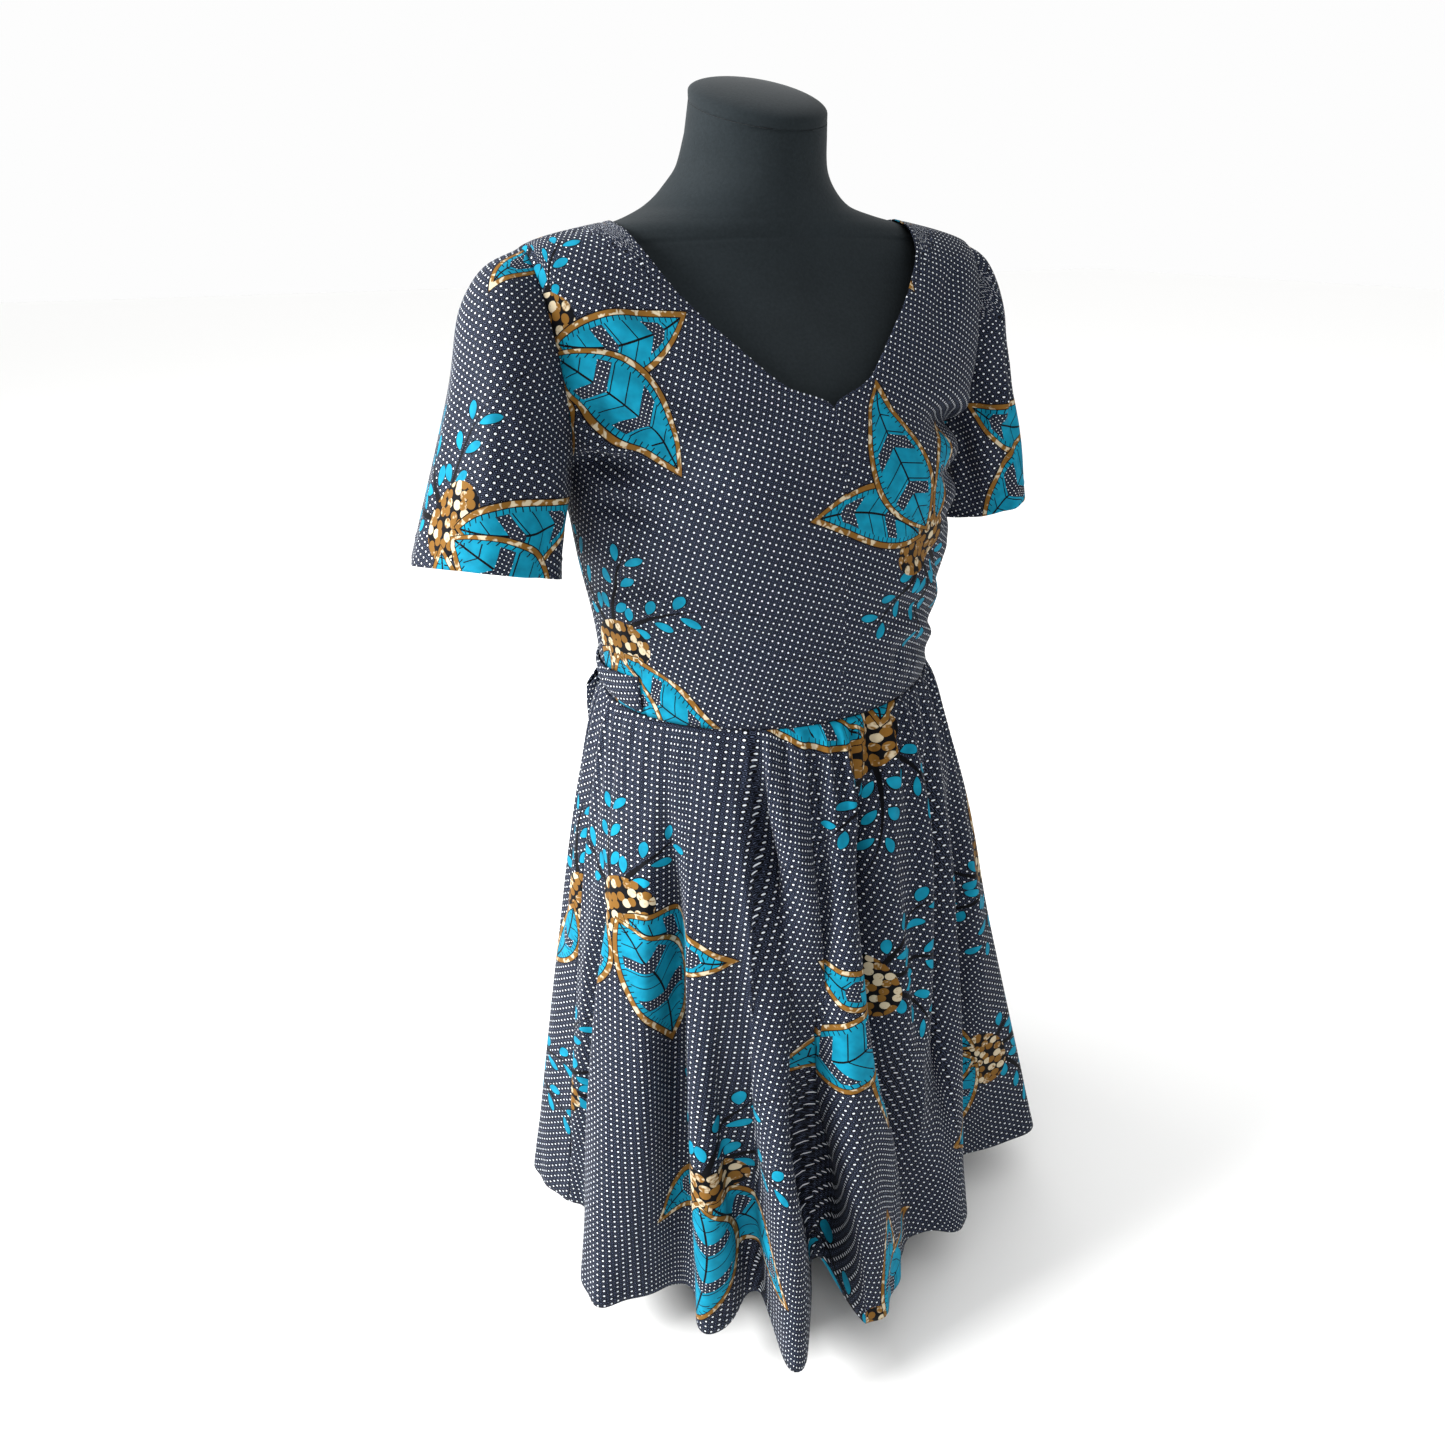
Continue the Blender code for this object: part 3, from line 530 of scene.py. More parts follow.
@dataclass(frozen=True)
class WaxPrintedCotton:
    """Plain woven cotton, resist dyed and printed in wax style, then calendered.

    It gives the eye a smooth, nearly matt cloth with crisp shapes: a close ground of white dots in
    a pale lattice, and scattered sprays of leaves, pebbled pods and drops in turquoise and gold.
    Sizes are in millimetres and turns in degrees, on the flat cloth.
    """

    name: str = "wax_printed_cotton"
    navy: str = "#070b17"
    ring: str = "#07080f"
    lattice: str = "#5f6a84"
    white: str = "#e2e7ee"
    turquoise: str = "#0c8aa9"
    deep_turquoise: str = "#086c86"
    gold: str = "#7a5522"
    cream: str = "#c4b699"
    black: str = "#07080c"
    roughness: float = 0.72
    specular: float = 0.07  # the threads shade each other's gloss
    sheen: float = 0.01
    thread: float = 1.1  # real threads are 0.3 mm apart: drawn coarser, so that they show
    # The ground, its shapes as shares of the dots' pitch
    pitch: float = 4.9
    ground_turn: float = 22.0
    dot_reach: float = 0.155
    ring_reach: float = 0.33
    line_off: float = 0.1
    line_half: float = 0.017
    seed_reach: float = 0.9
    finer: float = 1.6
    # The sprays and their stems with drops, which fan out below the pod
    cell: tuple[float, float] = (246.0, 262.0)
    fan_root: tuple[float, float] = (-6.0, -40.0)
    fan_start: float = -190.0
    fan_span: float = 138.0
    stem_apart: float = 46.0
    stem_twist: float = 0.004
    stem_taper: tuple[float, float, float, float] = (10.0, 88.0, 2.6, 0.3)
    drop_step: float = 23.0
    drop_aside: float = 9.5
    drop_turn: float = -38.0
    drop_ends: tuple[float, float] = (-9.0, 7.5)
    drop_powers: tuple[float, float] = (0.65, 0.5)
    drop_swell: float = 9.4
    drop_last: float = 92.0
    outline: float = 0.8
    # The pod
    pod_middle: tuple[float, float] = (-8.0, -34.0)
    pod_turn: float = -24.0
    pod_half: tuple[float, float] = (32.0, 22.0)
    pebble: float = 7.6
    pebble_reach: float = 0.47
    # The leaves, the first over the second and the second over the third
    leaves: tuple[Leaf, ...] = (
        Leaf(2.0, -30.0, 60.0, 132.0, 32.0, 13.0),
        Leaf(-6.0, -28.0, 116.0, 114.0, 27.0, -13.0),
        Leaf(10.0, -38.0, 12.0, 92.0, 19.0, 9.0),
    )
    leaf_fullness: tuple[float, float] = (2.2, 2.6)
    rib_step: float = 13.0
    rib_slant: float = 0.55
    tick_step: float = 4.6
    rim: float = 9.2
    seed_band: float = 11.0
    edges: tuple[float, float, float, float] = (0.0, 0.9, 5.0, 5.8)

    def leaf(self, put: Put, spot: Any, leaf: Leaf) -> Any:
        """Adds one leaf.

        Args:
            put: Adds a node.
            spot: Place within the spray.
            leaf: The leaf's sizes.

        Returns:
            Along, across and depth inside the edge, as one vector socket.
        """
        turn = (0.0, 0.0, math.radians(leaf.turn))
        middle = {"Vector": spot, "Location": (leaf.base_x, leaf.base_y, 0.0), "Rotation": turn}
        run, aside, _ = put(SPLIT, (put(MAPPING, middle),)).node.outputs
        along = put(OVER, (run, leaf.length))
        rest = put(MINUS, (1.0, along))
        hump = put(TIMES, (along, rest))
        across = put(TIMES_PLUS, (hump, -4.0 * leaf.bow, aside))
        broad = put(TIMES_PLUS, (rest, *self.leaf_fullness))
        half = put(TIMES, (put(TIMES, (hump, broad)), leaf.half_width))
        inside = put(MINUS, (half, put(SIZE, (across,))))
        return put(JOIN, (run, across, inside))

    def ground(self, put: Put, place: Any) -> Any:
        """Adds the dotted ground.

        Args:
            put: Adds a node.
            place: Place on the flat cloth.

        Returns:
            The ground's colour socket.
        """
        turned = put(TURN, {"Vector": place, "Angle": math.radians(self.ground_turn)})
        cell = put(V_FRACTION, (put(V_SCALE, {0: turned, 3: 1.0 / self.pitch}),))
        off = put(V_TIMES, (put(V_MINUS, (cell, (0.5, 0.5, 0.0))), (1.0, 1.0, 0.0)))
        reach = put(V_LENGTH, (off,))
        aside, ahead, _ = put(SPLIT, (put(V_SIZE, (off,)),)).node.outputs
        slant = put(PLUS, (aside, ahead))
        line = put(NEAR, (put(SIZE, (put(MINUS, (slant, 0.5)),)), self.line_off, self.line_half))
        colour = put(HIGHEST, (line, put(ABOVE, (slant, self.seed_reach))))
        colour = put(BLEND, {0: colour, 6: linear(self.navy), 7: linear(self.lattice)})
        for limit, paint in ((self.ring_reach, self.ring), (self.dot_reach, self.white)):
            colour = put(BLEND, {0: put(BELOW, (reach, limit)), 6: colour, 7: linear(paint)})
        return colour

    def spray_place(self, put: Put, place: Any) -> Any:
        """Adds the half drop repeat, with each spray turned its own way.

        Args:
            put: Adds a node.
            place: Place on the flat cloth.

        Returns:
            Place from the middle of the nearest spray, turned with it.
        """
        wide, high = self.cell
        aside, ahead, _ = put(SPLIT, (place,)).node.outputs
        column = put(FLOOR, (put(OVER, (aside, wide)),))
        lowered = put(PLUS, (ahead, put(TIMES, (put(MODULO, (column, 2.0)), high / 2.0))))
        cell = put(JOIN, (column, put(FLOOR, (put(OVER, (lowered, high)),)), 0.0))
        middle = put(V_TIMES_PLUS, (cell, (wide, high, 0.0), (wide / 2.0, high / 2.0, 0.0)))
        spot = put(V_MINUS, (put(JOIN, (aside, lowered, 0.0)), middle))
        return put(TURN, {"Vector": spot, "Angle": put(TIMES, (put(CHANCE, {"Vector": cell}), math.tau))})

    def sprigs(self, put: Put, spot: Any) -> tuple[Any, Any, Any]:
        """Adds three stems with drops that fan out below the pod.

        Args:
            put: Adds a node.
            spot: Place within the spray.

        Returns:
            Masks of the stems, of the drops' outlines and of the drops.
        """
        moved = put(V_MINUS, (spot, (*self.fan_root, 0.0)))
        aside, ahead, _ = put(SPLIT, (moved,)).node.outputs
        reach = put(V_LENGTH, (moved,))
        twist = put(TIMES_PLUS, (reach, self.stem_twist, put(BEARING, (ahead, aside))))
        opened = put(MODULO, (put(MINUS, (twist, math.radians(self.fan_start))), math.tau))
        fan = put(BELOW, (opened, math.radians(self.fan_span)))
        apart = math.radians(self.stem_apart)
        local = put(MINUS, (put(MODULO, (opened, apart)), apart / 2.0))
        off = put(SIZE, (put(TIMES, (local, reach)),))
        stem = put(BELOW, (off, put(RANGE, (reach, *self.stem_taper))))
        run = put(MINUS, (put(MODULO, (reach, self.drop_step)), self.drop_step / 2.0))
        drop = put(JOIN, (run, put(MINUS, (off, self.drop_aside)), 0.0))
        drop = put(TURN, {"Vector": drop, "Angle": math.radians(self.drop_turn)})
        run, across, _ = put(SPLIT, (drop,)).node.outputs
        along = put(RANGE, (run, *self.drop_ends, 0.0, 1.0))
        tail = put(POWER, (along, self.drop_powers[0]))
        tip = put(POWER, (put(MINUS, (1.0, along)), self.drop_powers[1]))
        half = put(TIMES, (put(TIMES, (tail, tip)), self.drop_swell))
        inside = put(MINUS, (half, put(SIZE, (across,))))
        within = put(TIMES, (put(ABOVE, (reach, self.drop_step)), put(BELOW, (reach, self.drop_last))))
        within = put(TIMES, (within, fan))
        shapes = [put(TIMES, (put(ABOVE, (inside, limit)), within)) for limit in (0.0, self.outline)]
        return put(TIMES, (stem, fan)), *shapes

    def pod(self, put: Put, place: Any, spot: Any, under: Any) -> Any:
        """Adds the pebbled pod: rounded cells of gold and cream on black.

        Args:
            put: Adds a node.
            place: Place on the flat cloth.
            spot: Place within the spray.
            under: The colour round it.

        Returns:
            The colour socket.
        """
        turn = (0.0, 0.0, math.radians(self.pod_turn))
        oval = {"Vector": spot, "Location": (*self.pod_middle, 0.0), "Rotation": turn}
        oval = put(MAPPING, oval | {"Scale": (*self.pod_half, 1.0)})
        pod = put(BELOW, (put(V_LENGTH, (oval,)), 1.0))
        pebbles = {"Vector": place, "Scale": 1.0 / self.pebble, "Randomness": 0.62}
        shade = put(VORONOI, pebbles, "Color", voronoi_dimensions="2D")
        crackle = put(NOISE, {"Vector": place, "Scale": 0.32, "Detail": 1.0})
        pale = put(RANGE, (put(PLUS, (put(SPLIT, (shade,)), crackle)), 1.08, 1.28, 0.0, 1.0))
        pebble = put(BLEND, {0: pale, 6: linear(self.gold), 7: linear(self.cream)})
        stone = put(BELOW, (shade.node.outputs["Distance"], self.pebble_reach))
        stones = put(BLEND, {0: stone, 6: linear(self.black), 7: pebble})
        return put(BLEND, {0: pod, 6: under, 7: stones})

    def foliage(self, put: Put, place: Any, spot: Any, blue: Any, under: Any) -> Any:
        """Adds the leaves: a mottled band between two outlines, and a ribbed blade.

        Args:
            put: Adds a node.
            place: Place on the flat cloth.
            spot: Place within the spray.
            blue: The blade's colour.
            under: The colour round them.

        Returns:
            The colour socket.
        """
        black = linear(self.black)
        shapes = [self.leaf(put, spot, leaf) for leaf in reversed(self.leaves)]
        leaf = shapes[0]
        for other in shapes[1:]:
            over = put(ABOVE, (put(SPLIT, (other,), "Z"), 0.0))
            leaf = put(MIX, {0: over, 4: leaf, 5: other}, 1, data_type="VECTOR")
        along, across, inside = put(SPLIT, (leaf,)).node.outputs
        apart = put(SIZE, (across,))
        spots = put(NOISE, {"Vector": place, "Scale": 0.17, "Detail": 1.5, "Distortion": 0.6})
        spots = put(RANGE, (spots, 0.53, 0.6, 0.0, 1.0))
        band = put(BLEND, {0: spots, 6: linear(self.gold), 7: linear(self.cream)})
        slant = put(TIMES_PLUS, (apart, self.rib_slant, along))
        rib = put(BELOW, (put(MODULO, (slant, self.rib_step)), 1.0))
        tick = put(BELOW, (put(MODULO, (along, self.tick_step)), 0.8))
        marks = put(MIX, {0: put(BELOW, (inside, self.rim)), 2: rib, 3: tick})
        marks = put(HIGHEST, (marks, put(BELOW, (apart, 0.8))))
        blade = put(BLEND, {0: marks, 6: blue, 7: black})
        seeds = put(BELOW, (put(MODULO, (slant, 3.0 * self.rib_step)), self.seed_band))
        seeds = put(TIMES, (seeds, put(ABOVE, (inside, self.rim + 0.2))))
        fine = self.ground(put, put(V_SCALE, {0: place, 3: self.finer}))
        blade = put(BLEND, {0: seeds, 6: blade, 7: fine})
        for limit, paint in zip(self.edges, (black, band, black, blade)):
            under = put(BLEND, {0: put(ABOVE, (inside, limit)), 6: under, 7: paint})
        return under

    def build(self) -> bpy.types.Material:
        """Builds the material.

        Returns:
            The material.
        """
        made, put, shader = start_material(self.name)
        black = linear(self.black)
        place = put(V_SCALE, {0: put(FLAT, uv_map="flat"), 3: 1000.0})
        spot = self.spray_place(put, place)
        mottle = put(NOISE, {"Vector": place, "Scale": 0.09, "Detail": 2.0})
        mottle = put(RANGE, (mottle, 0.35, 0.7, 0.0, 0.8))
        blue = put(BLEND, {0: mottle, 6: linear(self.turquoise), 7: linear(self.deep_turquoise)})
        colour = self.ground(put, place)
        for mask, paint in zip(self.sprigs(put, spot), (black, black, blue)):
            colour = put(BLEND, {0: mask, 6: colour, 7: paint})
        colour = self.foliage(put, place, spot, blue, self.pod(put, place, spot, colour))

        # Plain weave, drawn coarser than it is, with slight slubs
        weave = put(CHECKER, {"Vector": place, "Scale": 1.0 / self.thread})
        slub = put(NOISE, {"Vector": place, "Scale": 0.5, "Detail": 2.0})
        relief = put(TIMES_PLUS, (weave, 0.35, slub))
        normal = put(BUMP, {"Strength": 0.1, "Distance": 0.0003, "Height": relief})
        feed(shader, {"Base Color": colour, "Normal": normal, "Roughness": self.roughness})
        feed(shader, {"Specular IOR Level": self.specular, "Sheen Weight": self.sheen, "Sheen Roughness": 0.5})
        return made


@dataclass(frozen=True)
class JerseyCover:
    """Black cotton jersey stretched over a padded form.

    It gives the eye a dull charcoal skin with a faint knit and a soft pale bloom at its edges.
    """

    name: str = "black_jersey_cover"
    face: str = "#1c2225"
    worn: str = "#262d31"
    roughness: float = 0.8
    specular: float = 0.1
    sheen: float = 0.06
    loop_mm: float = 1.4  # real loops are 0.7 mm apart: drawn coarser, so that they show

    def build(self) -> bpy.types.Material:
        """Builds the material.

        Returns:
            The material.
        """
        made, put, shader = start_material(self.name)
        place = put(OBJECT_PLACE)
        cloud = put(NOISE, {"Vector": place, "Scale": 9.0, "Detail": 3.0})
        fuzz = put(NOISE, {"Vector": place, "Scale": 420.0, "Detail": 2.0})
        blend = put(PLUS, (put(RANGE, (cloud, 0.35, 0.7, 0.0, 0.6)), put(RANGE, (fuzz, 0.3, 0.8, 0.0, 0.5))))
        colour = put(BLEND, {0: blend, 6: linear(self.face), 7: linear(self.worn)})
        knit = put(VORONOI, {"Vector": place, "Scale": 1000.0 / self.loop_mm})
        normal = put(BUMP, {"Strength": 0.18, "Distance": 0.0004, "Height": put(PLUS, (knit, fuzz))})
        feed(shader, {"Base Color": colour, "Normal": normal, "Roughness": self.roughness})
        feed(shader, {"Specular IOR Level": self.specular, "Sheen Weight": self.sheen, "Sheen Roughness": 0.45})
        return made


@dataclass(frozen=True)
class PowderCoatedSteel:
    """Steel sheet and tube under a baked black powder coat.

    It gives the eye a satin black with a fine orange peel and slightly uneven gloss.
    """

    name: str = "black_powder_coat"
    colour: str = "#17181a"
    edge_wear: str = "#26282b"
    roughness: tuple[float, float] = (0.38, 0.55)

    def build(self) -> bpy.types.Material:
        """Builds the material.

        Returns:
            The material.
        """
        made, put, shader = start_material(self.name)
        place = put(OBJECT_PLACE)
        peel = put(NOISE, {"Vector": place, "Scale": 700.0, "Detail": 1.0})
        cloud = put(NOISE, {"Vector": place, "Scale": 14.0, "Detail": 3.0})
        colour = put(BLEND, {0: cloud, 6: linear(self.colour), 7: linear(self.edge_wear)})
        gloss = put(RANGE, (cloud, 0.3, 0.7, *self.roughness))
        normal = put(BUMP, {"Strength": 0.15, "Distance": 0.0002, "Height": peel})
        feed(shader, {"Base Color": colour, "Normal": normal, "Roughness": gloss, "IOR": 1.5})
        return made


@dataclass(frozen=True)
class PaleFloor:
    """Smooth painted studio floor, which gives the eye a plain pale surround."""

    name: str = "pale_floor"
    colour: str = "#fafaf9"
    roughness: tuple[float, float] = (0.82, 0.9)

    def build(self) -> bpy.types.Material:
        """Builds the material.

        Returns:
            The material.
        """
        made, put, shader = start_material(self.name)
        cloud = put(NOISE, {"Vector": put(OBJECT_PLACE), "Scale": 2.0, "Detail": 2.0})
        gloss = put(RANGE, (cloud, 0.3, 0.7, *self.roughness))
        feed(shader, {"Base Color": linear(self.colour), "Roughness": gloss})
        return made


def follow(places: Sequence[float], values: np.ndarray, at: np.ndarray) -> np.ndarray:
    """Follows a smooth curve through a table, which never overshoots its rows.

    Args:
        places: Where the rows lie, rising.
        values: One row of numbers at each place.
        at: The places to read.

    Returns:
        One row of numbers for each place in at.
    """
    x = np.asarray(places, float)
    y = np.asarray(values, float)
    widths = np.diff(x)[:, None]
    slopes = np.diff(y, axis=0) / widths
    product = slopes[:-1] * slopes[1:]
    total = slopes[:-1] + slopes[1:]
    inner = np.where(product > 0.0, 2.0 * product / np.where(total == 0.0, 1.0, total), 0.0)
    tangents = np.concatenate([slopes[:1], inner, slopes[-1:]])
    k = np.clip(np.searchsorted(x, at, side="right") - 1, 0, len(x) - 2)
    width = widths[k]
    t = (np.asarray(at) - x[k])[:, None] / width
    rise = y[k + 1] - y[k]
    bend = t * (1.0 - t) * ((1.0 - t) * (tangents[k] * width - rise) - t * (tangents[k + 1] * width - rise))
    return y[k] + rise * t + bend


def soft_step(low: float, high: float, at: np.ndarray) -> np.ndarray:
    """Rises smoothly from 0 to 1.

    Args:
        low: Where the rise begins.
        high: Where it ends.
        at: The places to read.

    Returns:
        The step's height at each place.
    """
    t = np.clip((at - low) / (high - low), 0.0, 1.0)
    return t * t * (3.0 - 2.0 * t)


def bump(off: np.ndarray, width: float) -> np.ndarray:
    """A soft bump.

    Args:
        off: Distances from its middle.
        width: Its width, at which it has fallen to about a third.

    Returns:
        Its height, 1 in the middle, at each distance.
    """
    return np.exp(-((off / width) ** 2))


def stacked(*grids: np.ndarray) -> np.ndarray:
    """Lays grids of coordinates together as points.

    Args:
        *grids: One grid for each coordinate, of shapes that fit.

    Returns:
        The points, with the coordinates along the last axis.
    """
    return np.stack(np.broadcast_arrays(*grids), axis=-1)


def covered(points: np.ndarray, axis: int = 0) -> np.ndarray:
    """Distance covered along lines of points.

    Args:
        points: The points, with the coordinates along the last axis.
        axis: The axis to follow.

    Returns:
        The distance from each line's start.
    """
    steps = np.linalg.norm(np.diff(points, axis=axis), axis=-1)
    return np.concatenate([np.zeros_like(steps.take([0], axis=axis)), np.cumsum(steps, axis=axis)], axis=axis)


def armhole_points(turns: np.ndarray) -> np.ndarray:
    """Points of the left armhole ring.

    Args:
        turns: Angles from the shoulder tip, in degrees: to 180 in front, then behind.

    Returns:
        One point for each angle.
    """
    tip, under = np.array(ARMHOLE_TIP), np.array(ARMHOLE_UNDER)
    turn = np.radians(turns)
    depth = np.where(np.sin(turn) >= 0.0, ARMHOLE_FRONT, ARMHOLE_BACK)
    points = (tip + under) / 2.0 + (tip - under) / 2.0 * np.cos(turn)[:, None]
    points[:, 1] -= depth * np.sin(turn)
    return points


@dataclass
class Sheet:
    """A grid of cloth: its points and its place on the flat cloth.

    The rows of a looped grid close by themselves; those of a ring end where they began.
    """

    points: np.ndarray
    flat: np.ndarray
    looped: bool = False
    ring: bool = False
    flipped: bool = False

    def outward(self) -> np.ndarray:
        """Finds which way the cloth faces.

        Returns:
            Unit normals of the grid's points, on its outer side.
        """
        if self.looped:
            along = np.roll(self.points, -1, axis=1) - np.roll(self.points, 1, axis=1)
        else:
            along = np.gradient(self.points, axis=1)
        if self.ring:
            along[:, 0] = along[:, -1] = (self.points[:, 1] - self.points[:, -2]) / 2.0
        up = np.gradient(self.points, axis=0)
        normals = np.cross(along, up)
        if self.flipped:
            normals = -normals
        centred = np.abs(self.points[:, 0, 0]) < TINY
        normals[centred, 0, 0] = 0.0
        return normals / np.maximum(np.linalg.norm(normals, axis=2, keepdims=True), TINY)

    def press(self, depth: np.ndarray) -> None:
        """Moves the points in, along the normals.

        Args:
            depth: How far each point goes.
        """
        self.points = self.points - self.outward() * depth[:, :, None]

    def crease(self, creases: Sequence[Crease], ease: np.ndarray) -> None:
        """Presses soft troughs into the grid.

        Args:
            creases: The troughs, in the grid's flat coordinates.
            ease: How much of them each point takes, none at a sewn edge.
        """
        depth = np.zeros(self.flat.shape[:2])
        for row in creases:
            start, end = np.array(row.start), np.array(row.end)
            run = end - start
            length = float(np.hypot(*run))
            offset = self.flat - start
            t = (offset @ run) / length**2
            side = (offset[:, :, 0] * run[1] - offset[:, :, 1] * run[0]) / length
            side = side - row.bow * 4.0 * t * (1.0 - t)
            ends = soft_step(*CREASE_START, t) * (1.0 - soft_step(*CREASE_END, t))
            wide = row.width * (CREASE_OPENS[0] + CREASE_OPENS[1] * np.clip(t, 0.0, 1.0))
            lip = CREASE_LIP * bump(np.abs(side) - CREASE_LIP_OFF * wide, wide)
            depth += row.depth * ends * (bump(side, wide) - lip)
        self.press(depth * ease)

    def unroll(self, base: int) -> None:
        """Lays the grid flat, as the panel was cut, so that a print keeps its size and grain.

        The base row is laid with the bends that it has within the cloth, and each other row is set
        off from its neighbour by their true distance.

        Args:
            base: The row laid first.
        """
        edges = self.points[:, 1:] - self.points[:, :-1]
        lengths = np.linalg.norm(edges, axis=2)
        runs = np.concatenate([edges[:, :1], (edges[:, 1:] + edges[:, :-1]) / 2.0, edges[:, -1:]], axis=1)
        along = runs / np.maximum(np.linalg.norm(runs, axis=2, keepdims=True), TINY)
        facing = np.cross(along[base], np.gradient(self.points, axis=0)[base])
        facing /= np.maximum(np.linalg.norm(facing, axis=1, keepdims=True), TINY)
        before, after = edges[base, :-1], edges[base, 1:]
        bends = np.arctan2(np.sum(facing[1:-1] * np.cross(before, after), axis=1), np.sum(before * after, axis=1))
        heading = np.concatenate([[0.0], np.cumsum(bends)])
        if self.ring:
            heading -= heading[len(heading) // 2]
        flat = np.zeros(self.points.shape[:2] + (2,))
        flat[base, 1:, 0] = np.cumsum(lengths[base] * np.cos(heading))
        flat[base, 1:, 1] = np.cumsum(lengths[base] * np.sin(heading))
        rows = len(self.points)
        order = [(k, k - 1) for k in range(base + 1, rows)] + [(k, k + 1) for k in reversed(range(base))]
        for here, last in order:
            step = self.points[here] - self.points[last]
            shift = np.sum(step * (along[here] + along[last]) / 2.0, axis=1)
            climb = np.sqrt(np.maximum(np.sum(step**2, axis=1) - shift**2, 0.0)) * (here - last)
            way = np.gradient(flat[last], axis=0)
            way /= np.maximum(np.linalg.norm(way, axis=1, keepdims=True), TINY)
            flat[here] = flat[last] + shift[:, None] * way + climb[:, None] * stacked(-way[:, 1], way[:, 0])
        self.flat = flat

    def groove(self, distance: np.ndarray, at: float, depth: float, width: float) -> None:
        """Presses a seam or a stitch line in.

        Args:
            distance: Each point's distance from an edge.
            at: How far from the edge the line runs.
            depth: Its depth.
            width: Its width.
        """
        self.press(depth * bump(distance - at, width))

    def faces(self) -> np.ndarray:
        """Finds the corners of the grid's faces.

        Returns:
            Corner numbers, a row for each face, turned outward.
        """
        rows, columns = self.points.shape[:2]
        k = np.arange(columns if self.looped else columns - 1)
        after = (k + 1) % columns
        low = (np.arange(rows - 1) * columns)[:, None]
        quads = stacked(low + k, low + after, low + columns + after, low + columns + k).reshape(-1, 4)
        return quads[:, ::-1] if self.flipped else quads


def cloth_piece(
    name: str, sheets: Sequence[Sheet], finish: bpy.types.Material, thickness: float = CLOTH
) -> bpy.types.Object:
    """Makes one piece of cloth from grids that join on shared points.

    Args:
        name: The piece's name.
        sheets: Its grids, with heights from the waist seam.
        finish: Its material.
        thickness: How thick the cloth is.

    Returns:
        The new object.
    """
    points, quads, flats = [], [], []
    count = 0
    for sheet in sheets:
        points.append(sheet.points.reshape(-1, 3))
        quads.append(sheet.faces() + count)
        flats.append(sheet.flat.reshape(-1, 2))
        count += len(points[-1])
    place = np.concatenate(points)
    place[:, 2] += WAIST_Z
    faces = np.concatenate(quads)
    mesh = bpy.data.meshes.new(name)
    mesh.from_pydata(place.tolist(), [], faces.tolist())
    layer = mesh.uv_layers.new(name="flat")
    corner = np.empty(len(mesh.loops), dtype=np.int64)
    mesh.loops.foreach_get("vertex_index", corner)
    layer.data.foreach_set("uv", np.concatenate(flats)[corner].astype(np.float32).ravel())
    if len(sheets) > 1:
        shape = bmesh.new()
        shape.from_mesh(mesh)
        bmesh.ops.remove_doubles(shape, verts=shape.verts, dist=MERGE)
        shape.to_mesh(mesh)
        shape.free()
    mesh.shade_smooth()
    mesh.materials.append(finish)
    made = bpy.data.objects.new(name, mesh)
    bpy.context.collection.objects.link(made)
    wall = made.modifiers.new("cloth", "SOLIDIFY")
    wall.thickness = thickness
    wall.offset = -1.0
    return made


@dataclass
class Sewn:
    """Base of every cloth piece: it hides the node that a piece stands for and hangs the piece on the root."""

    finish: bpy.types.Material

    def settle(
        self,
        piece: bpy.types.Object,
        flat: tuple[float, float],
        held: Held,
        rests_on: Sequence[str],
        area: float | None = None,
    ) -> None:
        """Ties a finished piece to the frame.

        Args:
            piece: The piece, named for its node with _cloth after it.
            flat: Width and length of its cut. Not used.
            held: How it is held. Not used.
            rests_on: What carries it. Not used.
            area: Flat area of the cut where it isn't a rectangle. Not used.
        """
        node = piece.name.removesuffix("_cloth")
        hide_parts(node)
        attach(piece, "root")
        LOG.info("%s: %d faces", piece.name, len(piece.data.polygons))


